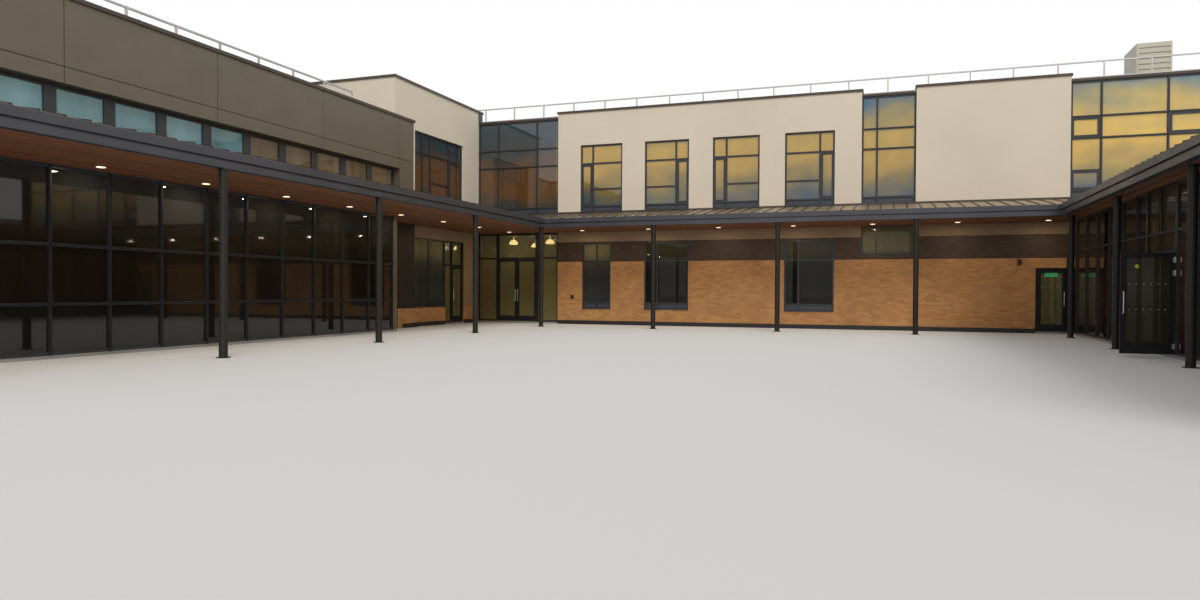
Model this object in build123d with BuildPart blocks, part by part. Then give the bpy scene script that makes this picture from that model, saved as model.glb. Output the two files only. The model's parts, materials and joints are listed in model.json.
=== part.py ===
"""School building round three sides of a courtyard, in millimetres.

X runs along the two-storey back wing, Y from the open end of the courtyard towards that wing,
and Z up from the ground. The origin is the centre of the footprint at ground level.
The hall wing stands on the left, the single-storey room wing on the right, and a two-storey
block fills the left back corner. A canopy on round posts runs along all three court sides.
"""
import os

from build123d import *

os.makedirs("parts", exist_ok=True)

# Plan
court_width = 19880
court_length = 22670
hall_width = 9020
room_width = 7800
wing_depth = 8230
lobby_recess = 1320
block_court_length = 5870
hall_end_setback = 1800
hall_overhang = 550

# Walls and slabs
wall = 350
light_wall = 300
return_wall = 220
ground_slab = 60
storey_slab = 355
roof_slab = 350
slab_joint = 20
wall_joint = 14
band_recess = 30
frame_recess = 60

# Heights
brick_top = 2430
soffit_height = 3570
soffit_thickness = 25
render_band = 370
clerestory_above_soffit = 760
clerestory_height = 720
hall_wall_height = 1550
hall_parapet = 300
upper_storey = 3950
wing_parapet = 320
glazed_edge = 140
block_parapet = 620

# Windows of the court sides
module = 2600
brick_start = 2210
brick_to_module = 940
window_width = 1710
bay_width = 1750
narrow_window_width = 1170
narrow_window_inset = 90
ground_sill = 610
ground_panel_top = 850
ground_head_drop = 50
high_sill = 2590
upper_sill_rise = 410
upper_panel_rise = 620
low_transom_rise = 1285
upper_transom_rise = 2280
bay_transom_rise = 2970
upper_head_rise = 3000
side_light = 500
corner_mullion = 950
corner_mullion_pitch = 1700
first_side_mullion = 860
side_mullion_pitch = 1790

# Windows of the outer sides
outer_sill = 900
outer_head = 2340
last_pier = 400
hall_side_first = 1500
block_side_first = 1300
block_rear_first = 1700
wing_rear_first = 700
room_side_first = 1200
wing_side_first = 700

# Bars, glass and clearances
bar = 60
opening_bar = 100
window_depth = 90
curtain_depth = 150
glass_thickness = 24
glass_setback = 34
rebate = 15

# Hall glazing and cladding
hall_bays = 12
hall_low_transom = 1000
hall_high_transom = 2100
clerestory_bar = 240
clerestory_rail = 70
cladding_thickness = 100
cladding_stand_off = 130
cladding_module = 3570
cladding_joint_rise = 300
least_panel = 600

# Room glazing
room_bay = 1260
transom = 2590
court_door_head = 2140
side_light_width = 720

# Block court wall
recess_sill = 660
recess_head_drop = 400
recess_pier = 1120
recess_door_zone = 800
recess_side_light = 550
recess_window_width = 2170
recess_door_head = 2220
pillar_start = 90
pillar_width = 1000
pillar_proud = 200
block_window_pier = 1220
block_window_width = 3420
block_first_mullion = 600
block_second_mullion = 1100

# Canopy
canopy_depth = 2620
hall_canopy_depth = 2730
room_canopy_reach = 730
roof_rise = 410
lower_fascia = 130
shadow_gap = 40
gap_depth = 60
fascia_step = 25
fascia_height = 320
edge_beam = 220
board_joint = 6

# Posts, rails and roof plant
post_radius = 80
post_inset = 110
room_post_inset = 310
post_pitch = 4920
back_bays = 4
rail_size = 44
rail_height = 1080
rail_middle = 540
back_rail_pitch = 1340
back_rail_first = 270
hall_rail_pitch = 1290
hall_rail_first = 910
rail_setback = 1380
hall_rail_setback = 1070
plant_width = 1020
plant_length = 1500
plant_height = 1800
plant_from_side = 4420
plant_setback = 2400
plant_rim = 60
louvres = 9
louvre_width = 60
louvre_depth = 30
coping_height = 80
coping_overhang = 40

# Downlights
light_radius = 80
light_drop = 18
hall_light_line = 600
back_light_line = 1020
back_light_shift = 400
light_pitch = 2580
hall_light_pitch = 2450

# Lobby pendants
pendant_radius = 190
pendant_height = 170
pendant_taper = 35
pendant_cord = 155
cord_size = 16
pendant_first = 700
pendant_pitch = 1690
pendant_row_pitch = 2260
pendant_setback = 1880
block_pendant_inset = 3660
block_pendant_setback = 5360

# Doors
leaf_thickness = 55
door_gap = 8
meeting_gap = 8
floor_gap = 12
running_gap = 0.3
stile = 95
kick_rail = 220
lobby_side_light = 880
lobby_door_zone = 1720
exit_zone = 940
exit_head = 2110
court_door_zone = 1920
court_door_from_back = 8100
knuckle_height = 110
knuckle_places = (0.1, 0.5, 0.9)
pull_length = 480
pull_radius = 14
pull_reach = 60
pull_height = 880
pull_edge = 48
pull_arm = 22

# Places that follow from the plan
half_width = (hall_width + court_width + room_width) / 2
half_length = (court_length + wing_depth) / 2
front = -half_length
back = half_length
front_inner = front + wall
back_inner = back - wall
left_inner = -half_width + wall
right_inner = half_width - wall
hall_x = -half_width + hall_width
room_x = hall_x + court_width
court_y = front + court_length
court_inner = court_y + wall
block_x = hall_x - lobby_recess
block_inner = block_x - wall
block_y = court_y - block_court_length
hall_end = block_y - hall_end_setback
hall_glazing_end = hall_end - return_wall
hall_upper_end = hall_end + hall_overhang
brick_x = hall_x + brick_start
module_x = brick_x + brick_to_module
bay_x = module_x + 4 * module
wall_break = bay_x + bay_width
storey_top = soffit_height + soffit_thickness
band_top = soffit_height - render_band
ground_head = band_top - ground_head_drop
recess_head = soffit_height - recess_head_drop
clerestory_sill = soffit_height + clerestory_above_soffit
clerestory_head = clerestory_sill + clerestory_height
cladding_joint_height = clerestory_head + cladding_joint_rise
hall_wall_top = clerestory_head + hall_wall_height
hall_deck = hall_wall_top - hall_parapet
upper_base = storey_top + storey_slab
upper_sill = upper_base + upper_sill_rise
upper_panel_top = upper_base + upper_panel_rise
low_transom = upper_base + low_transom_rise
upper_transom = upper_base + upper_transom_rise
bay_transom = upper_base + bay_transom_rise
upper_head = upper_base + upper_head_rise
wing_deck = upper_base + upper_storey
wing_wall_top = wing_deck + wing_parapet
glazed_parapet = wing_deck + glazed_edge
block_wall_top = wing_deck + block_parapet
canopy_left = hall_x + hall_canopy_depth
canopy_back = court_y - canopy_depth
canopy_right = room_x - room_canopy_reach
canopy_inner = canopy_right + canopy_depth
canopy_top = soffit_height + fascia_height
room_roof_top = canopy_top + roof_rise
exit_x = room_x - wall_joint - exit_zone
lobby_doors_x = block_x + lobby_side_light
lobby_doors_end = lobby_doors_x + lobby_door_zone
court_door_end = court_y - court_door_from_back
court_door_start = court_door_end - court_door_zone
recess_end = court_y - recess_pier
recess_door_start = recess_end - bar - recess_door_zone
recess_window_end = recess_door_start - recess_side_light
recess_window_start = recess_window_end - recess_window_width
pillar_left = block_y - pillar_start
block_window_end = court_y - block_window_pier
block_window_start = block_window_end - block_window_width


def along_x(y):
    """Upright plane at depth y that faces the court: sketch X is X and sketch Y is Z."""
    return Plane(origin=(0, y, 0), x_dir=(1, 0, 0), z_dir=(0, -1, 0))


def along_y(x):
    """Upright plane at place x that faces +X: sketch X is Y and sketch Y is Z."""
    return Plane(origin=(x, 0, 0), x_dir=(0, 1, 0), z_dir=(1, 0, 0))


def rect(left, low, right, high, mode=Mode.ADD):
    """Rectangle between two corners of the open sketch."""
    with Locations(((left + right) / 2, (low + high) / 2)):
        Rectangle(right - left, high - low, mode=mode)


def slab(outline, low, high):
    """Level slab of one or more plan rectangles between two heights."""
    with BuildSketch(Plane.XY.offset(low)) as plan:
        for corners in outline:
            rect(*corners)
    extrude(plan.sketch, amount=high - low)


def panel(plane, into, thickness, outline, holes=()):
    """Upright wall of one or more rectangles with rectangular holes through it."""
    with BuildSketch(plane) as face:
        for corners in outline:
            rect(*corners)
        for corners in holes:
            rect(*corners, mode=Mode.SUBTRACT)
    extrude(face.sketch, amount=into * thickness)


def sheets(plane, into, lights, mode=Mode.ADD):
    """Sheets of glass or panel, each let into the bars round its clear light."""
    with BuildSketch(plane.offset(into * glass_setback)) as lit:
        for left, low, right, high in lights:
            rect(left - rebate, low - rebate, right + rebate, high + rebate)
    extrude(lit.sketch, amount=into * glass_thickness, mode=mode)


def lattice(plane, into, depth, bars, lights, cover_bars=()):
    """Bars fused where they cross, with a slot for each sheet and cover bars over its face."""
    panel(plane, into, depth, bars)
    sheets(plane, into, lights, mode=Mode.SUBTRACT)
    if cover_bars:
        panel(plane, into, glass_setback, cover_bars)


def upright(place, low, high, width=bar):
    """Outline of an upright bar about its centre line."""
    return (place - width / 2, low, place + width / 2, high)


def rail(height, left, right, width=bar):
    """Outline of a level bar about its centre line."""
    return (left, height - width / 2, right, height + width / 2)


def ring(opening, width=bar):
    """Outlines of the four bars round an opening."""
    left, low, right, high = opening
    return [
        (left, low, left + width, high),
        (right - width, low, right, high),
        (left, low, right, low + width),
        (left, high - width, right, high),
    ]


def clear(opening, panel_top=None):
    """Clear light inside a ring of bars, above the rail at panel_top where there is one."""
    left, low, right, high = opening
    bottom = low + bar if panel_top is None else panel_top + bar / 2
    return (left + bar, bottom, right - bar, high - bar)


def sill_panel(opening, panel_top):
    """Clear light of the panel between an opening's sill and its lowest rail."""
    left, low, right, _ = opening
    return (left + bar, low + bar, right - bar, panel_top - bar / 2)


def row(first, count, low, high):
    """Openings of one width on the window module."""
    return [
        (first + n * module, low, first + n * module + window_width, high)
        for n in range(count)
    ]


def fitted_row(start, end, first, low, high):
    """Openings on the window module from the first one to the last that fits before the end."""
    count = int((end - last_pier - start - first - window_width) // module) + 1
    return row(start + first, count, low, high)


def places_between(start, pitch, end):
    """Evenly spaced places from start towards end, with clear room left before the end."""
    count = int((abs(end - start) - 2 * bar) // abs(pitch)) + 1
    return [start + n * pitch for n in range(count)]


def mullion_place(opening, narrow_left):
    """Centre line of the mullion beside a window's narrow light."""
    left, _, right, _ = opening
    return left + side_light if narrow_left else right - side_light


def wide_light(opening, narrow_left):
    """Ends of the wide light beside that mullion."""
    left, _, right, _ = opening
    place = mullion_place(opening, narrow_left)
    return (place, right) if narrow_left else (left, place)


# Floors and roofs
with BuildPart() as ground_floors:
    slab([(-half_width, front, hall_x, hall_end),
          (-half_width, hall_end, block_x, block_y - slab_joint)], 0, ground_slab)
    slab([(-half_width, block_y, block_x, back)], 0, ground_slab)
    slab([(block_x + slab_joint, court_y, half_width, back)], 0, ground_slab)
    slab([(room_x, front, half_width, court_y - slab_joint)], 0, ground_slab)

with BuildPart() as first_floors:
    slab([(left_inner, block_y, block_x, back_inner)], storey_top, upper_base)
    slab([(block_x + slab_joint, court_y, right_inner, back_inner)], storey_top, upper_base)

glazing_back = court_y + frame_recess + curtain_depth
with BuildPart() as flat_roofs:
    slab([(left_inner, block_y + wall, block_inner, back_inner)], wing_deck - roof_slab, wing_deck)
    slab([(block_inner + slab_joint, court_inner, right_inner, back_inner),
          (block_x, glazing_back, brick_x, court_inner),
          (bay_x, glazing_back, wall_break, court_inner),
          (room_x, glazing_back, right_inner, court_inner)], wing_deck - roof_slab, wing_deck)
    slab([(left_inner, front_inner, hall_x - light_wall, hall_upper_end - light_wall),
          (left_inner, hall_upper_end - light_wall, block_inner, block_y)],
         hall_deck - roof_slab, hall_deck)
    slab([(canopy_inner, front_inner, right_inner, court_y)],
         room_roof_top - roof_slab, room_roof_top)

# Outer walls: brick to the band height, then render or cladding
low_band = (outer_sill, outer_head)
high_band = (upper_sill, upper_head)
hall_side_row = fitted_row(front, block_y, hall_side_first, *low_band)
block_side_row = fitted_row(block_y, back, block_side_first, *low_band)
block_upper_row = fitted_row(block_y, back, block_side_first, *high_band)
block_rear_row = fitted_row(-half_width, block_x, block_rear_first, *low_band)
block_rear_upper_row = fitted_row(-half_width, block_x, block_rear_first, *high_band)
wing_rear_row = fitted_row(block_x, half_width, wing_rear_first, *low_band)
wing_rear_upper_row = fitted_row(block_x, half_width, wing_rear_first, *high_band)
room_side_row = fitted_row(front, court_y, room_side_first, *low_band)
wing_side_row = fitted_row(court_y, back, wing_side_first, *low_band)
wing_upper_row = fitted_row(court_y, back, wing_side_first, *high_band)
left_side = along_y(-half_width)
right_side = along_y(half_width)
rear_side = along_x(back)
front_side = along_x(front)

with BuildPart() as side_brick_walls:
    panel(left_side, 1, wall, [(front, ground_slab, back, brick_top)],
          hall_side_row + block_side_row)
    panel(right_side, -1, wall, [(front, ground_slab, back, brick_top)],
          room_side_row + wing_side_row)

with BuildPart() as end_brick_walls:
    panel(rear_side, 1, wall, [(left_inner, ground_slab, right_inner, brick_top)],
          block_rear_row + wing_rear_row)
    panel(front_side, -1, wall, [(left_inner, ground_slab, hall_x, brick_top)])
    panel(front_side, -1, wall, [(room_x, ground_slab, right_inner, brick_top)])

with BuildPart() as side_upper_walls:
    panel(left_side, 1, wall, [(front, brick_top, block_y - wall_joint, hall_wall_top)])
    panel(left_side, 1, wall, [(block_y, brick_top, back, wing_wall_top),
                               (block_y, brick_top, court_inner, block_wall_top)], block_upper_row)
    panel(right_side, -1, wall, [(front, brick_top, court_y - wall_joint, room_roof_top)])
    panel(right_side, -1, wall, [(court_y, brick_top, back, wing_wall_top)], wing_upper_row)

with BuildPart() as end_upper_walls:
    panel(rear_side, 1, wall, [(left_inner, brick_top, block_x - wall_joint, wing_wall_top)],
          block_rear_upper_row)
    panel(rear_side, 1, wall, [(block_x, brick_top, right_inner, wing_wall_top)],
          wing_rear_upper_row)
    panel(front_side, -1, wall, [(left_inner, brick_top, hall_x, clerestory_head),
                                 (left_inner, clerestory_head, hall_x - light_wall, hall_wall_top)])
    panel(front_side, -1, wall, [(room_x, brick_top, right_inner, storey_top),
                                 (canopy_inner, storey_top, right_inner, room_roof_top)])

outer_frame_sets = (
    (along_y(-half_width + frame_recess), 1, hall_side_row + block_side_row + block_upper_row),
    (along_y(half_width - frame_recess), -1, room_side_row + wing_side_row + wing_upper_row),
    (along_x(back - frame_recess), 1,
     block_rear_row + block_rear_upper_row + wing_rear_row + wing_rear_upper_row),
)
with BuildPart() as outer_window_frames:
    for plane, into, openings in outer_frame_sets:
        panel(plane, into, window_depth, openings, [clear(hole) for hole in openings])

with BuildPart() as outer_window_glass:
    for plane, into, openings in outer_frame_sets:
        panel(plane.offset(into * glass_setback), into, glass_thickness,
              [clear(hole) for hole in openings])

# Hall wing, court side
hall_face = along_y(hall_x)
first_upright = front_inner + bar / 2
last_upright = hall_glazing_end - bar / 2
hall_pitch = (last_upright - first_upright) / hall_bays
hall_uprights = [first_upright + n * hall_pitch for n in range(hall_bays + 1)]
hall_opening = (front_inner, ground_slab, hall_glazing_end, storey_top)
hall_light = (front_inner + bar, ground_slab + bar, hall_glazing_end - bar, soffit_height - bar)
clerestory = (front_inner, clerestory_sill, hall_glazing_end, clerestory_head)
clerestory_light = (front_inner + bar, clerestory_sill + clerestory_rail,
                    hall_glazing_end - bar, clerestory_head - clerestory_rail)
head_rail = (soffit_height - bar, storey_top)

with BuildPart() as hall_frames:
    bars = ring(hall_opening)
    bars.append((front_inner, head_rail[0], hall_glazing_end, head_rail[1]))
    bars += [upright(place, ground_slab, storey_top) for place in hall_uprights]
    lattice(hall_face, -1, curtain_depth, bars, [hall_light],
            [rail(height, front_inner, hall_glazing_end)
             for height in (hall_low_transom, hall_high_transom)])
    bars = ring(clerestory, clerestory_rail)
    bars += [upright(place, clerestory_sill, clerestory_head, clerestory_bar)
             for place in hall_uprights[1:-1]]
    lattice(hall_face, -1, curtain_depth, bars, [clerestory_light])

with BuildPart() as hall_glass:
    sheets(hall_face, -1, [hall_light])
    sheets(hall_face, -1, [clerestory_light])

with BuildPart() as hall_spandrel:
    panel(hall_face, -1, light_wall,
          [(front_inner, storey_top, hall_glazing_end, clerestory_sill)])

backing_face = along_y(hall_x + cladding_stand_off)
backing = light_wall + cladding_stand_off
with BuildPart() as hall_upper_wall:
    panel(backing_face, -1, backing, [(front, clerestory_head, hall_upper_end, hall_wall_top)])

with BuildPart() as hall_end_pier:
    slab([(block_x, hall_glazing_end, hall_x, hall_end)], ground_slab, storey_top)
    slab([(hall_x - light_wall, hall_glazing_end, hall_x, hall_end)], storey_top, clerestory_sill)
    slab([(hall_x - light_wall, hall_glazing_end, hall_x + cladding_stand_off, hall_upper_end)],
         clerestory_sill, clerestory_head)

joints = places_between(hall_glazing_end, -cladding_module, front + least_panel)
panel_ends = [hall_upper_end, *joints, front]
half_joint = wall_joint / 2
with BuildPart() as hall_cladding:
    for far, near in zip(panel_ends[:-1], panel_ends[1:]):
        low = clerestory_sill if far == hall_upper_end else clerestory_head
        for bottom, top in ((low, cladding_joint_height - half_joint),
                            (cladding_joint_height + half_joint, hall_wall_top)):
            panel(backing_face, 1, cladding_thickness,
                  [(near + half_joint, bottom, far - half_joint, top)])

with BuildPart() as hall_corner_walls:
    slab([(block_inner, hall_glazing_end, block_x, block_y - wall_joint)],
         storey_top, clerestory_sill)
    slab([(block_inner, hall_upper_end - light_wall, block_x, block_y - wall_joint),
          (block_x, hall_upper_end - light_wall, hall_x - light_wall, hall_upper_end)],
         clerestory_sill, hall_wall_top)

# Block, court side
block_face = along_y(block_x)
block_frames = along_y(block_x - frame_recess)
recess_window = (recess_window_start, recess_sill, recess_window_end, recess_head)
recess_light = (recess_window_end, ground_slab, recess_door_start, recess_head)
recess_over_door = (recess_door_start, recess_door_head, recess_end - bar, recess_head)
block_window = (block_window_start, upper_sill, block_window_end, upper_head)

with BuildPart() as recess_plinths:
    panel(block_face, -1, wall, [(hall_glazing_end, ground_slab, recess_window_end, recess_sill)])
    slab([(block_x, pillar_left, block_x + pillar_proud, pillar_left + pillar_width)],
         0, recess_sill)
    panel(block_face, -1, wall, [(recess_end, ground_slab, court_inner, recess_sill)])

with BuildPart() as recess_pillar:
    panel(block_face, -1, wall, [(hall_glazing_end, recess_sill, recess_window_start, storey_top)])
    slab([(block_x, pillar_left, block_x + pillar_proud, pillar_left + pillar_width)],
         recess_sill, soffit_height)

with BuildPart() as recess_walls:
    panel(block_face, -1, wall, [(recess_end, recess_sill, court_inner, storey_top)])

with BuildPart() as block_front_walls:
    panel(along_x(block_y), -1, wall, [(left_inner, upper_base, block_inner, block_wall_top)])
    slab([(left_inner, court_y, block_inner, court_inner)], wing_deck, block_wall_top)

# Back wing, ground storey
court_face = along_x(court_y)
court_frames = along_x(court_y + frame_recess)
narrow_left = module_x + narrow_window_inset
ground_windows = [
    (narrow_left, ground_sill, narrow_left + narrow_window_width, ground_head),
    (module_x + module, ground_sill, module_x + module + window_width, ground_head),
    (module_x + 3 * module, ground_sill, module_x + 3 * module + window_width, ground_head),
]
high_window = (bay_x, high_sill, wall_break, storey_top)
corner_x = room_x + curtain_depth

with BuildPart() as court_brick_wall:
    panel(court_face, -1, wall, [(brick_x, ground_slab, exit_x, brick_top)], ground_windows)

with BuildPart() as exit_lintel:
    panel(court_face, -1, wall, [(exit_x, exit_head, room_x - wall_joint - bar, brick_top)])

with BuildPart() as court_dark_band:
    panel(along_x(court_y + band_recess), -1, wall - band_recess,
          [(brick_x, brick_top, corner_x, band_top)], [*ground_windows, high_window])

with BuildPart() as render_bands:
    panel(court_face, -1, wall, [(brick_x, band_top, bay_x, storey_top)])
    panel(court_face, -1, wall, [(wall_break, band_top, corner_x, storey_top)])
    panel(block_face, -1, wall, [(recess_window_start, recess_head, recess_end, storey_top)])

# Window frames of the court sides, ground storey
with BuildPart() as ground_window_frames:
    for opening, narrow in zip(ground_windows, (False, True, True)):
        left, low, right, high = opening
        place = (left + right) / 2 if not narrow else mullion_place(opening, True)
        bars = ring(opening) + [rail(ground_panel_top, left, right)]
        lattice(court_frames, -1, window_depth, bars,
                [clear(opening, ground_panel_top), sill_panel(opening, ground_panel_top)],
                [upright(place, low, high), rail(brick_top, left, right)])
    lattice(court_frames, -1, window_depth, ring(high_window), [clear(high_window)],
            [upright(bay_x + side_light, high_sill, storey_top)])
    left, low, right, high = recess_window
    lattice(block_frames, -1, window_depth, ring(recess_window), [clear(recess_window)],
            [upright((left + right) / 2, low, high)])

with BuildPart() as ground_window_glass:
    sheets(court_frames, -1, [clear(hole, ground_panel_top) for hole in ground_windows])
    sheets(court_frames, -1, [clear(high_window)])
    sheets(block_frames, -1, [clear(recess_window)])

# Lobby, recess and court door frames
lobby_left = (block_x, ground_slab, lobby_doors_x, storey_top)
lobby_right = (lobby_doors_end, ground_slab, brick_x, storey_top)
lobby_over = (lobby_doors_x, transom - bar / 2, lobby_doors_end, storey_top)
court_over = (court_door_start, court_door_head, court_door_end, storey_top)
court_over_low = (court_door_start + bar, court_door_head + bar,
                  court_door_end - bar, transom - bar / 2)
court_over_high = (court_door_start + bar, transom + bar / 2,
                   court_door_end - bar, soffit_height - bar)


def tall_light(opening):
    """Clear light under the head rail of a full-height glazed opening."""
    left, low, right, _ = opening
    return (left + bar, low + bar, right - bar, soffit_height - bar)


def head_bar(opening):
    """Outline of the deep head rail, half of it hidden by the soffit."""
    left, _, right, _ = opening
    return (left, head_rail[0], right, head_rail[1])


with BuildPart() as door_frames:
    for opening in (lobby_left, lobby_right):
        left, low, right, high = opening
        lattice(court_frames, -1, curtain_depth, ring(opening) + [head_bar(opening)],
                [tall_light(opening)], [rail(transom, left, right)])
    bars = ring(recess_light) + [rail(recess_door_head + bar / 2, recess_window_end,
                                      recess_door_start)]
    lattice(block_frames, -1, window_depth, bars, [clear(recess_light)])
    panel(block_frames, -1, window_depth,
          [(recess_end - bar, ground_slab, recess_end, recess_head)])
    panel(court_frames, -1, window_depth, [(exit_x, ground_slab, exit_x + bar, exit_head)])
    panel(court_face, -1, wall, [(room_x - wall_joint - bar, ground_slab, corner_x, brick_top)])

with BuildPart() as door_heads:
    bars = ring(lobby_over) + [head_bar(lobby_over)]
    lattice(court_frames, -1, curtain_depth, bars, [tall_light(lobby_over)])
    lattice(block_frames, -1, window_depth, ring(recess_over_door), [clear(recess_over_door)])
    panel(court_frames, -1, window_depth,
          [(exit_x + bar, exit_head - bar, room_x - wall_joint - bar, exit_head)])
    middle = (court_door_start + court_door_end) / 2
    bars = ring(court_over) + [head_bar(court_over), rail(transom, court_over[0], court_over[2]),
                               upright(middle, transom, storey_top)]
    lattice(along_y(room_x), 1, curtain_depth, bars, [court_over_low, court_over_high])

with BuildPart() as door_glass:
    sheets(court_frames, -1, [tall_light(lobby_left), tall_light(lobby_right),
                              tall_light(lobby_over)])
    sheets(block_frames, -1, [clear(recess_light), clear(recess_over_door)])
    sheets(along_y(room_x), 1, [court_over_low, court_over_high])

# Room wing, court side
room_face = along_y(room_x)
near_glazing = (front_inner, ground_slab, court_door_start, storey_top)
far_glazing = (court_door_end, ground_slab, court_y, storey_top)
near_uprights = places_between(court_door_start - bar / 2 - room_bay, -room_bay, front_inner)
far_uprights = places_between(court_door_end + bar + side_light_width, room_bay, court_y)
with BuildPart() as room_frames:
    for opening, places in ((near_glazing, near_uprights), (far_glazing, far_uprights)):
        left, low, right, high = opening
        bars = ring(opening) + [head_bar(opening)]
        bars += [upright(place, low, high) for place in places]
        lattice(room_face, 1, curtain_depth, bars, [tall_light(opening)],
                [rail(transom, left, right)])

with BuildPart() as room_glass:
    sheets(room_face, 1, [tall_light(near_glazing), tall_light(far_glazing)])

# Upper storey walls
upper_windows = row(module_x, 4, upper_sill, upper_head)
with BuildPart() as upper_render_walls:
    panel(court_face, -1, wall, [(brick_x, upper_base, bay_x, wing_wall_top)], upper_windows)
    panel(court_face, -1, wall, [(wall_break, upper_base, room_x, wing_wall_top)])
    panel(block_face, -1, wall, [(block_y, upper_base, court_inner, block_wall_top)],
          [block_window])

corner_glazing = (block_x, upper_base, brick_x, glazed_parapet)
bay_glazing = (bay_x, upper_base, wall_break, glazed_parapet)
side_glazing = (room_x, upper_base, right_inner, glazed_parapet)
side_mullions = places_between(room_x + first_side_mullion, side_mullion_pitch, right_inner)
glazed_sections = (
    (corner_glazing, [brick_x - corner_mullion, brick_x - corner_mullion - corner_mullion_pitch]),
    (bay_glazing, [bay_x + side_light]),
    (side_glazing, side_mullions),
)

with BuildPart() as upper_frames:
    for opening, narrow_left in zip(upper_windows, (True, False, True, False)):
        left, low, right, high = opening
        wide_start, wide_end = wide_light(opening, narrow_left)
        narrow = (left, wide_start) if narrow_left else (wide_end, right)
        cover_bars = [upright(mullion_place(opening, narrow_left), low, high),
                      rail(upper_transom, left, right), rail(low_transom, wide_start, wide_end)]
        cover_bars += ring((narrow[0], upper_panel_top, narrow[1], upper_transom), opening_bar)
        lattice(court_frames, -1, window_depth,
                ring(opening) + [rail(upper_panel_top, left, right)],
                [clear(opening, upper_panel_top), sill_panel(opening, upper_panel_top)], cover_bars)
    for opening, places in glazed_sections:
        left, low, right, high = opening
        cover_bars = [upright(place, low, high) for place in places]
        cover_bars += [rail(height, left, right) for height in (upper_transom, bay_transom)]
        if opening == side_glazing:
            cover_bars += ring((left, upper_transom, places[0], bay_transom), opening_bar)
            cover_bars += ring((left, upper_panel_top, places[0], low_transom), opening_bar)
            cover_bars += ring((places[1], upper_transom, places[2], bay_transom), opening_bar)
        lattice(court_frames, -1, curtain_depth,
                ring(opening) + [rail(upper_panel_top, left, right)],
                [clear(opening, upper_panel_top), sill_panel(opening, upper_panel_top)], cover_bars)
    left, low, right, high = block_window
    mullions = [left + block_first_mullion, left + block_second_mullion,
                left + block_second_mullion + module / 2]
    cover_bars = [rail(upper_transom, left, right), rail(low_transom, mullions[1], mullions[2])]
    cover_bars += [upright(place, low, high) for place in mullions]
    cover_bars += ring((mullions[2], upper_panel_top, right, upper_transom), opening_bar)
    lattice(block_frames, -1, window_depth, ring(block_window) + [rail(upper_panel_top, left, right)],
            [clear(block_window, upper_panel_top), sill_panel(block_window, upper_panel_top)],
            cover_bars)

upper_openings = upper_windows + [corner_glazing, bay_glazing, side_glazing]
with BuildPart() as upper_glass:
    sheets(court_frames, -1, [clear(hole, upper_panel_top) for hole in upper_openings])
    sheets(block_frames, -1, [clear(block_window, upper_panel_top)])

with BuildPart() as sill_panels:
    sheets(court_frames, -1, [sill_panel(hole, upper_panel_top) for hole in upper_openings])
    sheets(block_frames, -1, [sill_panel(block_window, upper_panel_top)])
    sheets(court_frames, -1, [sill_panel(hole, ground_panel_top) for hole in ground_windows])


# Canopy
def canopy_run(plane, edge, way, depth, length):
    """Run of canopy: stepped fascia, shadow gap and pitched roof drawn on a plane across it."""
    roof_height = canopy_top + roof_rise * depth / canopy_depth
    lower_top = soffit_height + lower_fascia
    gap_top = lower_top + shadow_gap
    steps = (
        (fascia_step, soffit_height),
        (fascia_step, lower_top),
        (gap_depth, lower_top),
        (gap_depth, gap_top),
        (0, gap_top),
        (0, canopy_top),
        (depth, roof_height),
        (depth, storey_top),
        (edge_beam, storey_top),
        (edge_beam, soffit_height),
    )
    with BuildSketch(plane) as section:
        with BuildLine():
            Polyline(*[(edge + way * inward, height) for inward, height in steps], close=True)
        make_face()
    extrude(section.sketch, amount=length)


left_mitre = Plane(origin=(canopy_left, canopy_back, 0), x_dir=(-1, 1, 0), z_dir=(1, 1, 0))
right_mitre = Plane(origin=(canopy_right, canopy_back, 0), x_dir=(1, 1, 0), z_dir=(1, -1, 0))

with BuildPart() as hall_canopy:
    canopy_run(along_x(front), canopy_left, -1, hall_canopy_depth, -court_length)
    split(bisect_by=left_mitre, keep=Keep.BOTTOM)

with BuildPart() as back_canopy:
    canopy_run(along_y(hall_x), canopy_back, 1, canopy_depth, canopy_inner - hall_x)
    split(bisect_by=left_mitre, keep=Keep.TOP)
    split(bisect_by=right_mitre, keep=Keep.BOTTOM)

with BuildPart() as room_canopy:
    canopy_run(along_x(front), canopy_right, 1, canopy_depth, -court_length)
    split(bisect_by=right_mitre, keep=Keep.TOP)

with BuildPart() as recess_roof:
    slab([(block_x, hall_end, hall_x, court_y)], storey_top, clerestory_sill)


def level_polygon(points, low, high):
    """Level plate with the given corners."""
    with BuildSketch(Plane.XY.offset(low)) as plate:
        with BuildLine():
            Polyline(*points, close=True)
        make_face()
    extrude(plate.sketch, amount=high - low)


beam_left = canopy_left - edge_beam
beam_back = canopy_back + edge_beam
beam_right = canopy_right + edge_beam
glazing_corner = canopy_back + room_canopy_reach
with BuildPart() as canopy_soffit:
    level_polygon([(hall_x + board_joint, front), (beam_left, front), (beam_left, beam_back),
                   (canopy_left - canopy_depth, court_y), (hall_x + board_joint, court_y)],
                  soffit_height, storey_top)
    level_polygon([(beam_left + board_joint, beam_back), (beam_right - board_joint, beam_back),
                   (room_x - board_joint, glazing_corner), (room_x - board_joint, court_y),
                   (canopy_left - canopy_depth + board_joint, court_y)],
                  soffit_height, storey_top)
    level_polygon([(beam_right, front), (room_x, front), (room_x, glazing_corner),
                   (beam_right, beam_back)], soffit_height, storey_top)
    level_polygon([(block_x, hall_end), (hall_x, hall_end), (hall_x, court_y),
                   (block_x, court_y)], soffit_height, storey_top)

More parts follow.
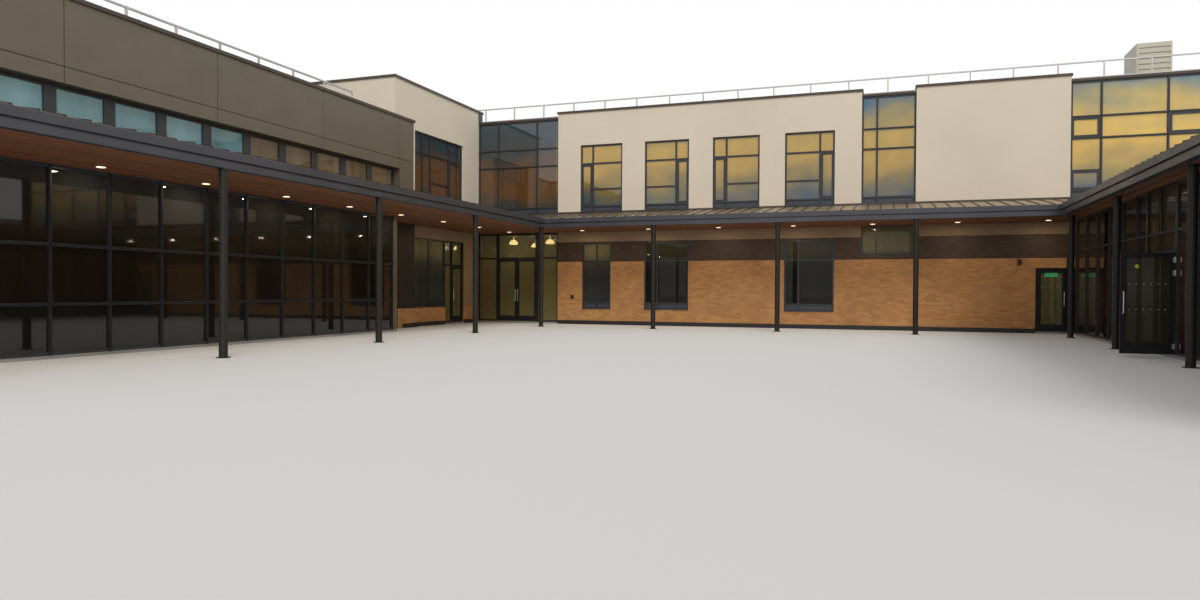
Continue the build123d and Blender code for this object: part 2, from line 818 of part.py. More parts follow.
# Posts
post_left = canopy_left - post_inset
post_back = canopy_back + post_inset
post_right = canopy_right + room_post_inset
post_span = (post_right - post_left) / back_bays
post_rows = int((post_back - post_inset - front) / post_pitch)
post_points = [(post_left + n * post_span, post_back) for n in range(back_bays + 1)]
post_points += [(place, post_back - n * post_pitch)
                for place in (post_left, post_right) for n in range(1, post_rows + 1)]
with BuildPart() as canopy_posts:
    with BuildSketch():
        with Locations(*post_points):
            Circle(post_radius)
    extrude(amount=soffit_height)

# Downlights
hall_lights = int((court_length - 2 * back_light_line) / hall_light_pitch) + 1
light_points = [(hall_x + hall_light_line, court_y - back_light_line - n * hall_light_pitch)
                for n in range(hall_lights)]
light_points += [(bay_x + back_light_shift + n * light_pitch, court_y - back_light_line)
                 for n in range(-4, 3)]
with BuildPart() as downlights:
    with BuildSketch(Plane.XY.offset(soffit_height - light_drop)):
        with Locations(*light_points):
            RegularPolygon(light_radius, 8)
    extrude(amount=light_drop)

# Pendants in the lobby and the block, hung from the first floor
pendant_top = storey_top - pendant_cord
pendant_points = [(block_x + pendant_first + n * pendant_pitch,
                   court_y + pendant_setback + m * pendant_row_pitch)
                  for n in range(2) for m in range(2)]
pendant_points.append((block_inner - block_pendant_inset, court_y + block_pendant_setback))
with BuildPart() as lobby_pendants:
    with BuildSketch(Plane.XY.offset(pendant_top - pendant_height)):
        with Locations(*pendant_points):
            RegularPolygon(pendant_radius, 12)
    extrude(amount=pendant_height, taper=pendant_taper)
    with BuildSketch(Plane.XY.offset(pendant_top)):
        with Locations(*pendant_points):
            Rectangle(cord_size, cord_size)
    extrude(amount=pendant_cord)

# Copings on the wall tops
over = coping_overhang
with BuildPart() as copings:
    slab([(-half_width - over, block_y - over, left_inner + over, court_inner + over),
          (-half_width - over, court_y - over, block_x + over, court_inner + over),
          (-half_width - over, block_y - over, block_x + over, block_y + wall + over),
          (block_inner - over, block_y - over, block_x + over, court_inner + over)],
         block_wall_top, block_wall_top + coping_height)
    slab([(-half_width - over, court_inner, left_inner + over, back + over),
          (-half_width - over, back_inner - over, half_width + over, back + over),
          (right_inner - over, court_y - over, half_width + over, back + over)],
         wing_wall_top, wing_wall_top + coping_height)
    for left, right in ((brick_x, bay_x), (wall_break, room_x)):
        slab([(left - over, court_y - over, right + over, court_inner + over)],
             wing_wall_top, wing_wall_top + coping_height)
    for left, _, right, _ in (corner_glazing, bay_glazing, side_glazing):
        slab([(left, court_y + frame_recess - over, right, glazing_back + over)],
             glazed_parapet, glazed_parapet + coping_height)
    clad_edge = hall_x + cladding_stand_off + cladding_thickness + over
    slab([(-half_width - over, front - over, left_inner + over, block_y - wall_joint),
          (-half_width - over, front - over, clad_edge, front_inner + over),
          (hall_x - light_wall - over, front - over, clad_edge, hall_upper_end + over),
          (block_inner - over, hall_upper_end - light_wall - over, clad_edge,
           hall_upper_end + over),
          (block_inner - over, hall_upper_end - light_wall - over, block_x + over,
           block_y - wall_joint)],
         hall_wall_top, hall_wall_top + coping_height)
    slab([(canopy_inner, front - over, half_width + over, front_inner + over),
          (right_inner - over, front - over, half_width + over, court_y - wall_joint - over)],
         room_roof_top, room_roof_top + coping_height)


def railing(points, start, end, deck):
    """Two rails from start to end on posts that stand on the deck."""
    with BuildSketch(Plane.XY.offset(deck)) as posts:
        with Locations(*points):
            Rectangle(rail_size, rail_size)
    extrude(posts.sketch, amount=rail_height)
    low_x, high_x = sorted((start[0], end[0]))
    low_y, high_y = sorted((start[1], end[1]))
    half = rail_size / 2
    for height in (rail_middle, rail_height - half):
        slab([(low_x - half, low_y - half, high_x + half, high_y + half)],
             deck + height - half, deck + height + half)


back_rail_y = court_y + rail_setback
hall_rail_x = hall_x - hall_rail_setback
back_rail_start = left_inner + back_rail_first
hall_rail_start = front_inner + hall_rail_first
with BuildPart() as roof_railings:
    points = [(place, back_rail_y)
              for place in places_between(back_rail_start, back_rail_pitch, right_inner)]
    railing(points, points[0], points[-1], wing_deck)
    points = [(hall_rail_x, place)
              for place in places_between(hall_rail_start, hall_rail_pitch,
                                          hall_upper_end - light_wall)]
    railing(points, points[0], points[-1], hall_deck)

plant_left = half_width - plant_from_side - plant_width
plant_front = court_y + plant_setback
louvre_pitch = plant_height / (louvres + 1)
with BuildPart() as plant_unit:
    slab([(plant_left, plant_front, plant_left + plant_width, plant_front + plant_length)],
         wing_deck, wing_deck + plant_height)
    for n in range(1, louvres + 1):
        height = wing_deck + n * louvre_pitch
        with BuildSketch(along_x(plant_front)):
            rect(plant_left + plant_rim, height - louvre_width / 2,
                 plant_left + plant_width - plant_rim, height + louvre_width / 2)
        extrude(amount=-louvre_depth, mode=Mode.SUBTRACT)


# Door leaves
def leaf_plane(hinge, free_way):
    """Upright plane through a hinge axis: sketch X runs to the free edge."""
    way = Vector(*free_way, 0)
    return Plane(origin=(*hinge, 0), x_dir=way, z_dir=way.cross(Vector(0, 0, 1)))


def leaf_light(width, low, high):
    """Clear light inside the stiles and rails of a leaf."""
    return (stile, low + kick_rail, width - stile, high - stile)


def leaf_slot(plane, into, light, mode=Mode.ADD):
    """Pane in the middle of a leaf, let into the stiles and rails round its clear light."""
    with BuildSketch(plane.offset(into * (leaf_thickness - glass_thickness) / 2)) as lit:
        rect(light[0] - rebate, light[1] - rebate, light[2] + rebate, light[3] + rebate)
    extrude(lit.sketch, amount=into * glass_thickness, mode=mode)


def leaf_frame(hinge, free_way, into, width, low, high):
    """Stiles and rails of a glazed leaf, with its hinge knuckles and a pull on each side."""
    plane = leaf_plane(hinge, free_way)
    light = leaf_light(width, low, high)
    panel(plane, into, leaf_thickness, [(0, low, width, high)], [light])
    leaf_slot(plane, into, light, mode=Mode.SUBTRACT)
    way = Vector(*free_way, 0)
    for share in knuckle_places:
        centre = low + share * (high - low)
        with BuildSketch(Plane(origin=(*hinge, centre - knuckle_height / 2), x_dir=way)) as knuckle:
            RegularPolygon(door_gap - running_gap, 8)
        extrude(knuckle.sketch, amount=knuckle_height)
    place = width - pull_edge
    for face, depth in ((0, -pull_reach), (leaf_thickness, leaf_thickness + pull_reach)):
        with BuildSketch(Plane(origin=(*hinge, pull_height), x_dir=way)) as grip:
            with Locations((place, -into * depth)):
                RegularPolygon(pull_radius, 8)
        extrude(grip.sketch, amount=pull_length)
        near, far = sorted((-into * face, -into * depth))
        for end in (pull_height, pull_height + pull_length - pull_arm):
            with BuildSketch(Plane(origin=(*hinge, end), x_dir=way)) as arm:
                rect(place - pull_arm / 2, near, place + pull_arm / 2, far)
            extrude(arm.sketch, amount=pull_arm)


leaf_low = ground_slab + floor_gap
lobby_leaf = (lobby_door_zone - meeting_gap) / 2 - door_gap
court_leaf = (court_door_zone - meeting_gap) / 2 - door_gap
exit_leaf = room_x - wall_joint - bar - exit_x - bar - 2 * door_gap
recess_leaf = recess_end - bar - recess_door_start - 2 * door_gap
frame_y = court_y + frame_recess
leaves = {
    "lobby_door_left": ((lobby_doors_x + door_gap, frame_y), (1, 0), -1, lobby_leaf,
                        transom - bar / 2),
    "lobby_door_right": ((lobby_doors_end - door_gap, frame_y), (-1, 0), 1, lobby_leaf,
                         transom - bar / 2),
    "exit_door": ((exit_x + bar + door_gap, frame_y), (1, 0), -1, exit_leaf, exit_head - bar),
    "recess_door": ((block_x - frame_recess, recess_end - bar - door_gap), (0, -1), 1,
                    recess_leaf, recess_door_head),
    "court_door_open": ((room_x, court_door_start + door_gap), (-1, 0), 1, court_leaf,
                        court_door_head),
    "court_door_shut": ((room_x, court_door_end - door_gap), (0, -1), -1, court_leaf,
                        court_door_head),
}
pieces = {}
for name, (hinge, free_way, into, width, head) in leaves.items():
    size = (width, leaf_low, head - door_gap)
    with BuildPart() as leaf:
        leaf_frame(hinge, free_way, into, *size)
    with BuildPart() as pane:
        leaf_slot(leaf_plane(hinge, free_way), into, leaf_light(*size))
    pieces[name] = leaf.part
    pieces[name + "_glass"] = pane.part

pieces.update({
    "ground_floors": ground_floors.part,
    "first_floors": first_floors.part,
    "flat_roofs": flat_roofs.part,
    "side_brick_walls": side_brick_walls.part,
    "end_brick_walls": end_brick_walls.part,
    "side_upper_walls": side_upper_walls.part,
    "end_upper_walls": end_upper_walls.part,
    "outer_window_frames": outer_window_frames.part,
    "outer_window_glass": outer_window_glass.part,
    "hall_frames": hall_frames.part,
    "hall_glass": hall_glass.part,
    "hall_spandrel": hall_spandrel.part,
    "hall_upper_wall": hall_upper_wall.part,
    "hall_end_pier": hall_end_pier.part,
    "hall_cladding": hall_cladding.part,
    "hall_corner_walls": hall_corner_walls.part,
    "recess_plinths": recess_plinths.part,
    "recess_pillar": recess_pillar.part,
    "recess_walls": recess_walls.part,
    "block_front_walls": block_front_walls.part,
    "court_brick_wall": court_brick_wall.part,
    "exit_lintel": exit_lintel.part,
    "court_dark_band": court_dark_band.part,
    "render_bands": render_bands.part,
    "ground_window_frames": ground_window_frames.part,
    "ground_window_glass": ground_window_glass.part,
    "door_frames": door_frames.part,
    "door_heads": door_heads.part,
    "door_glass": door_glass.part,
    "room_frames": room_frames.part,
    "room_glass": room_glass.part,
    "upper_render_walls": upper_render_walls.part,
    "upper_frames": upper_frames.part,
    "upper_glass": upper_glass.part,
    "sill_panels": sill_panels.part,
    "hall_canopy": hall_canopy.part,
    "back_canopy": back_canopy.part,
    "room_canopy": room_canopy.part,
    "recess_roof": recess_roof.part,
    "canopy_soffit": canopy_soffit.part,
    "canopy_posts": canopy_posts.part,
    "downlights": downlights.part,
    "lobby_pendants": lobby_pendants.part,
    "copings": copings.part,
    "roof_railings": roof_railings.part,
    "plant_unit": plant_unit.part,
})
for name, piece in pieces.items():
    piece.label = name
    export_step(piece, f"parts/{name}.step")
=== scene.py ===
"""Finishes and fittings of a school building round a courtyard, with the camera and light."""
import json
import math

import bmesh
import bpy
import numpy as np
from mathutils import Matrix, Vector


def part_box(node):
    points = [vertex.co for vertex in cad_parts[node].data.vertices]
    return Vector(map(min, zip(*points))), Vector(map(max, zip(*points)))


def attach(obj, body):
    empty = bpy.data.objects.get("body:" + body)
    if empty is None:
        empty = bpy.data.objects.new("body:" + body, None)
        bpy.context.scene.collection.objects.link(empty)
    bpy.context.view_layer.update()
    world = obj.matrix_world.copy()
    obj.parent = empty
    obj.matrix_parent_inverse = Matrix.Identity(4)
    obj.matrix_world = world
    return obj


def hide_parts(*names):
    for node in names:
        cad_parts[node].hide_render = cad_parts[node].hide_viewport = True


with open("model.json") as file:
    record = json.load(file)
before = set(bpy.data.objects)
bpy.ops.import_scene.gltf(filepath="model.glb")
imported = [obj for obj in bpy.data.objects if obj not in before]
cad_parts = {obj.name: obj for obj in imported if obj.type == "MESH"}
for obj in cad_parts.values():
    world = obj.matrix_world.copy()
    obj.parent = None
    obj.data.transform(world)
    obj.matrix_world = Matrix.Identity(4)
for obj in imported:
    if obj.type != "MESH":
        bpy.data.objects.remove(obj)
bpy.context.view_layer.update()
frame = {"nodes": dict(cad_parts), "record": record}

# Lines of the building that the added pieces follow, in metres
HALL_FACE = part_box("hall_frames")[1][0]
ROOM_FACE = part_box("room_frames")[0][0]
COURT_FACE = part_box("court_brick_wall")[0][1]
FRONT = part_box("ground_floors")[0][1]
BLOCK_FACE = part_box("recess_roof")[0][0]
HALL_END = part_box("recess_roof")[0][1]
CANOPY_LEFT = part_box("hall_canopy")[1][0]
CANOPY_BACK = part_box("back_canopy")[0][1]
CANOPY_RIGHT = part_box("room_canopy")[0][0]
CANOPY_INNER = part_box("room_canopy")[1][0]
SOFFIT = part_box("canopy_soffit")[0][2]
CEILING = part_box("canopy_soffit")[1][2]
WALL_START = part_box("court_brick_wall")[0][0]
WALL_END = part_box("court_brick_wall")[1][0]
EAVES = SOFFIT + 0.32
ROOF_SLOPE = 0.41 / 2.62
EDGE_BEAM = 0.22
FRAME_FACE = COURT_FACE + 0.06
CORNER_END = WALL_START - 0.1
CLERESTORY_BAR = -6.69
LEAVES = ["lobby_door_left", "lobby_door_right", "exit_door", "recess_door",
          "court_door_open", "court_door_shut"]


# ---------------------------------------------------------------- shapes
def surface(name, vertices, faces, finish, slot, body="building", smooth=False, uv=None):
    """Closed mesh from arrays of corners and faces, riding on a body, with its faces outwards."""
    mesh = bpy.data.meshes.new(name)
    mesh.from_pydata(np.asarray(vertices).reshape(-1, 3).tolist(), [], [list(f) for f in faces])
    if uv is not None:
        layer = mesh.uv_layers.new(name="UVMap")
        loops = np.zeros(len(mesh.loops), dtype=np.int32)
        mesh.loops.foreach_get("vertex_index", loops)
        layer.data.foreach_set("uv", np.asarray(uv, dtype=np.float32)[loops].ravel())
    work = bmesh.new()
    work.from_mesh(mesh)
    bmesh.ops.recalc_face_normals(work, faces=work.faces)
    work.to_mesh(mesh)
    work.free()
    mesh.polygons.foreach_set("use_smooth", np.full(len(mesh.polygons), smooth))
    mesh.materials.append(finish)
    piece = bpy.data.objects.new(name, mesh)
    bpy.context.scene.collection.objects.link(piece)
    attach(piece, body)
    return piece


BAR_FACES = np.array([(0, 1, 2, 3), (7, 6, 5, 4), (0, 4, 5, 1), (1, 5, 6, 2), (2, 6, 7, 3),
                      (3, 7, 4, 0)])


def bars(starts, ends, width, height, up=(0.0, 0.0, 1.0)):
    """Straight bars: each end's corners are the end plus or minus half the width along
    side = axis x up and half the height along rise = side x axis."""
    starts = np.atleast_2d(np.asarray(starts, float))
    ends = np.atleast_2d(np.asarray(ends, float))
    along = ends - starts
    along /= np.linalg.norm(along, axis=1, keepdims=True)
    side = np.cross(along, up)
    side /= np.linalg.norm(side, axis=1, keepdims=True)
    rise = np.cross(side, along)
    signs = np.array([(-1, -1), (1, -1), (1, 1), (-1, 1)]) / 2
    offsets = signs[:, :1, None] * side * width + signs[:, 1:, None] * rise * height
    rings = np.concatenate([starts + offsets, ends + offsets]).transpose(1, 0, 2)
    faces = BAR_FACES + 8 * np.arange(len(starts))[:, None, None]
    return rings.reshape(-1, 3), faces.reshape(-1, 4)


def strip(profile, starts, ends, out, across=(0.0, 0.0, 1.0)):
    """Profile carried along straight lines: each corner is an end of the line plus the profile's
    first number times the way out and its second number times the way across."""
    profile = np.asarray(profile, float)
    lines = np.stack([np.atleast_2d(starts), np.atleast_2d(ends)], axis=1).astype(float)
    offsets = profile[:, :1] * np.asarray(out, float) + profile[:, 1:] * np.asarray(across, float)
    points = lines[:, :, None] + offsets
    sides = len(profile)
    ring = np.arange(sides)
    after = (ring + 1) % sides
    faces = []
    for first in 2 * sides * np.arange(len(lines)):
        faces += (np.stack([ring, after, after + sides, ring + sides], axis=1) + first).tolist()
        faces += [(ring + first).tolist(), (ring + sides + first).tolist()]
    return points.reshape(-1, 3), faces


def turned(profile, centres, sides=24):
    """Profile turned round upright axes: x = cx + r cos t, y = cy + r sin t, z = cz + h for each
    (r, h) of the profile, closed at both ends by a face."""
    profile = np.asarray(profile, float)
    centres = np.atleast_2d(np.asarray(centres, float))
    turn = np.arange(sides) * 2 * np.pi / sides
    round_xy = np.stack([np.cos(turn), np.sin(turn)], axis=1)
    ring = np.zeros((len(profile), sides, 3))
    ring[..., :2] = profile[:, None, :1] * round_xy
    ring[..., 2] = profile[:, 1:]
    points = centres[:, None, None] + ring
    row, column = np.meshgrid(np.arange(len(profile) - 1), np.arange(sides), indexing="ij")
    after = (column + 1) % sides
    quads = np.stack([row * sides + column, row * sides + after,
                      (row + 1) * sides + after, (row + 1) * sides + column], axis=-1)
    step = len(profile) * sides
    faces = []
    for n in range(len(centres)):
        faces += (quads.reshape(-1, 4) + n * step).tolist()
        faces.append((np.arange(sides) + n * step).tolist())
        faces.append((np.arange(sides) + n * step + step - sides).tolist())
    return points.reshape(-1, 3), faces


def tube(path, radius, sides=14):
    """Circle carried along a flat path: each ring is the point plus r cos t along the path's
    own normal and r sin t along the normal of its plane, and the ends are closed."""
    path = np.asarray(path, float)
    along = np.gradient(path, axis=0)
    along /= np.linalg.norm(along, axis=1, keepdims=True)
    flat = np.cross(path[len(path) // 2] - path[0], path[-1] - path[0])
    flat /= np.linalg.norm(flat)
    across = np.cross(along, flat)
    turn = np.arange(sides) * 2 * np.pi / sides
    rings = path[:, None] + radius * (np.cos(turn)[:, None] * across[:, None]
                                      + np.sin(turn)[:, None] * flat)
    row, column = np.meshgrid(np.arange(len(path) - 1), np.arange(sides), indexing="ij")
    after = (column + 1) % sides
    quads = np.stack([row * sides + column, row * sides + after,
                      (row + 1) * sides + after, (row + 1) * sides + column], axis=-1)
    faces = quads.reshape(-1, 4).tolist()
    faces.append(list(range(sides)))
    faces.append(list(range((len(path) - 1) * sides, len(path) * sides)))
    return rings.reshape(-1, 3), faces


def joined(parts):
    """Several meshes as one: each one's faces count on from the corners before it."""
    vertices, faces, count = [], [], 0
    for points, quads in parts:
        vertices.append(np.asarray(points).reshape(-1, 3))
        faces += [[int(i) + count for i in face] for face in quads]
        count += len(vertices[-1])
    return np.concatenate(vertices), faces


# ---------------------------------------------------------------- finishes
class Finish:
    """A material with its Principled shader and the nodes that feed it."""

    def __init__(self, name, colour, roughness, metallic=0.0):
        self.material = bpy.data.materials.new(name)
        self.material.use_nodes = True
        self.nodes = self.material.node_tree.nodes
        self.links = self.material.node_tree.links
        self.shader = self.nodes["Principled BSDF"]
        self.shader.inputs["Base Color"].default_value = (*colour, 1)
        self.shader.inputs["Roughness"].default_value = roughness
        self.shader.inputs["Metallic"].default_value = metallic
        self.coords = self.nodes.new("ShaderNodeTexCoord")

    def node(self, kind, **settings):
        """New node with its sockets or settings given by name."""
        node = self.nodes.new(kind)
        for key, value in settings.items():
            if key in node.inputs:
                node.inputs[key].default_value = value
            else:
                setattr(node, key, value)
        return node

    def math(self, operation, first, second=None):
        """One sum on two sockets or numbers."""
        node = self.nodes.new("ShaderNodeMath")
        node.operation = operation
        for socket, value in zip(node.inputs, (first, second)):
            if hasattr(value, "node"):
                self.links.new(value, socket)
            elif value is not None:
                socket.default_value = value
        return node.outputs[0]

    def noise(self, scale, detail=3.0, stretch=None, vector=None):
        """Noise on the object's own coordinates, scale in waves a metre."""
        source = vector or self.coords.outputs["Object"]
        if stretch:
            mapping = self.node("ShaderNodeMapping")
            mapping.inputs["Scale"].default_value = stretch
            self.links.new(source, mapping.inputs["Vector"])
            source = mapping.outputs["Vector"]
        node = self.nodes.new("ShaderNodeTexNoise")
        node.inputs["Scale"].default_value = scale
        node.inputs["Detail"].default_value = detail
        self.links.new(source, node.inputs["Vector"])
        return node.outputs["Fac"]

    def shade(self, value, dark, light, onto="Base Color"):
        """Colour or number from dark to light as value goes from 0.3 to 0.7."""
        return self.steps(value, [dark, light], 0.3, 0.7, onto)

    def steps(self, value, tones, low=0.0, high=1.0, onto="Base Color"):
        """Colour or number that passes evenly through the tones as value goes from low to high."""
        ramp = self.nodes.new("ShaderNodeValToRGB")
        elements = ramp.color_ramp.elements
        places = np.linspace(low, high, len(tones))
        elements[0].position, elements[1].position = low, high
        for place in places[1:-1]:
            elements.new(place)
        for element, place, tone in zip(elements, places, tones):
            element.position = place
            element.color = (*(tone if isinstance(tone, tuple) else (tone,) * 3), 1)
        self.links.new(value, ramp.inputs["Fac"])
        if onto:
            self.links.new(ramp.outputs["Color"], self.shader.inputs[onto])
        return ramp.outputs["Color"]

    def bump(self, height, distance, strength=1.0):
        """Relief by a height, on top of any relief that is there already."""
        node = self.nodes.new("ShaderNodeBump")
        node.inputs["Strength"].default_value = strength
        node.inputs["Distance"].default_value = distance
        self.links.new(height, node.inputs["Height"])
        before = self.shader.inputs["Normal"]
        if before.is_linked:
            self.links.new(before.links[0].from_socket, node.inputs["Normal"])
        self.links.new(node.outputs["Normal"], before)

    def wall_vector(self):
        """Along-the-wall and up-the-wall coordinates of upright faces that look along X or Y."""
        split = self.nodes.new("ShaderNodeSeparateXYZ")
        self.links.new(self.coords.outputs["Object"], split.inputs[0])
        facing = self.nodes.new("ShaderNodeSeparateXYZ")
        self.links.new(self.coords.outputs["Normal"], facing.inputs[0])
        side_on = self.math("GREATER_THAN", self.math("ABSOLUTE", facing.outputs["X"]), 0.5)
        level = self.math("GREATER_THAN", self.math("ABSOLUTE", facing.outputs["Z"]), 0.5)
        along = self.math("ADD", self.math("MULTIPLY", split.outputs["Y"], side_on),
                          self.math("MULTIPLY", split.outputs["X"],
                                    self.math("SUBTRACT", 1.0, side_on)))
        rise = self.math("ADD", self.math("MULTIPLY", split.outputs["Y"], level),
                         self.math("MULTIPLY", split.outputs["Z"],
                                   self.math("SUBTRACT", 1.0, level)))
        join = self.nodes.new("ShaderNodeCombineXYZ")
        self.links.new(along, join.inputs["X"])
        self.links.new(rise, join.inputs["Y"])
        return join.outputs[0]


def brickwork(name, light, dark, mortar, roughness):
    """Stretcher bond of 215 by 65 mm bricks in 10 mm joints, each brick in its own shade."""
    finish = Finish(name, light, roughness)
    vector = finish.wall_vector()
    bond = finish.nodes.new("ShaderNodeTexBrick")
    bond.offset = 0.5
    for key, value in (("Scale", 1.0), ("Mortar Size", 0.0045), ("Mortar Smooth", 0.2),
                       ("Bias", -0.1), ("Brick Width", 0.225), ("Row Height", 0.075)):
        bond.inputs[key].default_value = value
    bond.inputs["Color1"].default_value = (*light, 1)
    bond.inputs["Color2"].default_value = (*dark, 1)
    bond.inputs["Mortar"].default_value = (*mortar, 1)
    finish.links.new(vector, bond.inputs["Vector"])
    tint = finish.shade(finish.noise(1.3, 4.0), (0.86, 0.84, 0.82), (1.0, 1.0, 1.0), onto=None)
    mix = finish.nodes.new("ShaderNodeMix")
    mix.data_type = "RGBA"
    mix.blend_type = "MULTIPLY"
    mix.inputs["Factor"].default_value = 1.0
    finish.links.new(bond.outputs["Color"], mix.inputs["A"])
    finish.links.new(tint, mix.inputs["B"])
    finish.links.new(mix.outputs["Result"], finish.shader.inputs["Base Color"])
    finish.bump(finish.math("SUBTRACT", 1.0, bond.outputs["Fac"]), 0.006, 0.8)
    finish.bump(finish.noise(60.0, 4.0), 0.002, 0.5)
    return finish.material


def painted(name, colour, roughness=0.45, spread=0.12, metallic=0.0, grain=40.0, shine=0.5):
    """Powder-coated or painted metal: an even colour with faint cloudiness and a fine skin."""
    finish = Finish(name, colour, roughness, metallic)
    finish.shader.inputs["Specular IOR Level"].default_value = shine
    low = tuple(c * (1 - spread) for c in colour)
    high = tuple(min(1.0, c * (1 + spread)) for c in colour)
    finish.shade(finish.noise(0.9, 3.0), low, high)
    finish.shade(finish.noise(2.2, 4.0), roughness - 0.07, roughness + 0.08, onto="Roughness")
    finish.bump(finish.noise(grain, 2.0), 0.0015, 0.25)
    return finish.material


def rendered(name, colour, spread):
    """Through-coloured render: fine float texture, faint drifts of shade."""
    finish = Finish(name, colour, 0.9)
    low = tuple(c * (1 - spread) for c in colour)
    finish.shade(finish.noise(0.35, 5.0), low, colour)
    finish.bump(finish.noise(90.0, 4.0), 0.003, 0.5)
    return finish.material


def glazing(name, tones, low, high, alpha, sheen, drift=0.25, painted_streak=0.0, steps=(),
            second=None):
    """Glass with painted reflections and painted light of rooms behind it: its body colour passes
    through the tones from the height low to the height high, with a slow drift and upright painted
    streaks. Each step changes that painted brightness along X, as (from X, to X, strength before,
    strength after). The second tones, as (axis, limit, tones), painted reflections as well, take
    the place of the first where that coordinate is below the limit."""
    finish = Finish(name, tones[0], 0.03)
    finish.shader.inputs["Alpha"].default_value = alpha
    finish.shader.inputs["IOR"].default_value = sheen
    place = finish.nodes.new("ShaderNodeSeparateXYZ")
    finish.links.new(finish.coords.outputs["Object"], place.inputs[0])
    height = finish.math("DIVIDE", finish.math("SUBTRACT", place.outputs["Z"], low), high - low)
    wander = finish.math("SUBTRACT", finish.noise(0.55, 2.0, stretch=(1.0, 1.0, 1.8)), 0.5)
    value = finish.math("ADD", height, finish.math("MULTIPLY", wander, drift))
    colour = finish.steps(value, tones, onto=None)
    if second:
        axis, limit, second_tones = second
        choice = finish.nodes.new("ShaderNodeMix")
        choice.data_type = "RGBA"
        finish.links.new(finish.math("LESS_THAN", place.outputs[axis], limit),
                         choice.inputs["Factor"])
        finish.links.new(colour, choice.inputs["A"])
        finish.links.new(finish.steps(value, second_tones, onto=None), choice.inputs["B"])
        colour = choice.outputs["Result"]
    # Upright streaks darken the painted colour in bands, as painted reflections; the steps below
    # scale its painted brightness along X.
    strength = finish.math("SUBTRACT", 1.0, finish.math(
        "MULTIPLY", finish.noise(1.9, 3.0, stretch=(1.0, 1.0, 0.12)), painted_streak))
    for limits in steps:
        step = finish.nodes.new("ShaderNodeMapRange")
        for key, value in zip(("From Min", "From Max", "To Min", "To Max"), limits):
            step.inputs[key].default_value = value
        finish.links.new(place.outputs["X"], step.inputs["Value"])
        strength = finish.math("MULTIPLY", strength, step.outputs["Result"])
    scaled = finish.nodes.new("ShaderNodeVectorMath")
    scaled.operation = "SCALE"
    finish.links.new(colour, scaled.inputs[0])
    finish.links.new(strength, scaled.inputs["Scale"])
    finish.links.new(scaled.outputs[0], finish.shader.inputs["Base Color"])
    finish.bump(finish.noise(0.5, 1.0), 0.003, 0.12)
    return finish.material


def boarded(name, light, dark):
    """Stained boards: each board its own shade, with grain drawn out along it."""
    finish = Finish(name, light, 0.7)
    split = finish.nodes.new("ShaderNodeSeparateXYZ")
    finish.links.new(finish.coords.outputs["UV"], split.inputs[0])
    board = finish.math("FLOOR", split.outputs["Y"])
    own = finish.nodes.new("ShaderNodeTexWhiteNoise")
    own.noise_dimensions = "1D"
    finish.links.new(board, own.inputs["W"])
    grain = finish.noise(1.0, 6.0, stretch=(1.6, 9.0, 1.0), vector=finish.coords.outputs["UV"])
    value = finish.math("ADD", finish.math("MULTIPLY", own.outputs["Value"], 0.45),
                        finish.math("MULTIPLY", grain, 0.6))
    finish.shade(value, dark, light)
    finish.bump(grain, 0.001, 0.4)
    return finish.material


def lit(name, colour, strength):
    """Lamp cover that glows evenly through a faint prismatic skin."""
    finish = Finish(name, colour, 0.4)
    finish.shader.inputs["Emission Color"].default_value = (*colour, 1)
    finish.shader.inputs["Emission Strength"].default_value = strength
    finish.shade(finish.noise(55.0, 2.0), tuple(c * 0.85 for c in colour), colour)
    return finish.material


def concrete(name, colour):
    """Cast slab: cloudy grey with fine pores."""
    finish = Finish(name, colour, 0.85)
    finish.shade(finish.noise(1.1, 6.0), tuple(c * 0.8 for c in colour), colour)
    finish.bump(finish.noise(70.0, 5.0), 0.002, 0.5)
    return finish.material


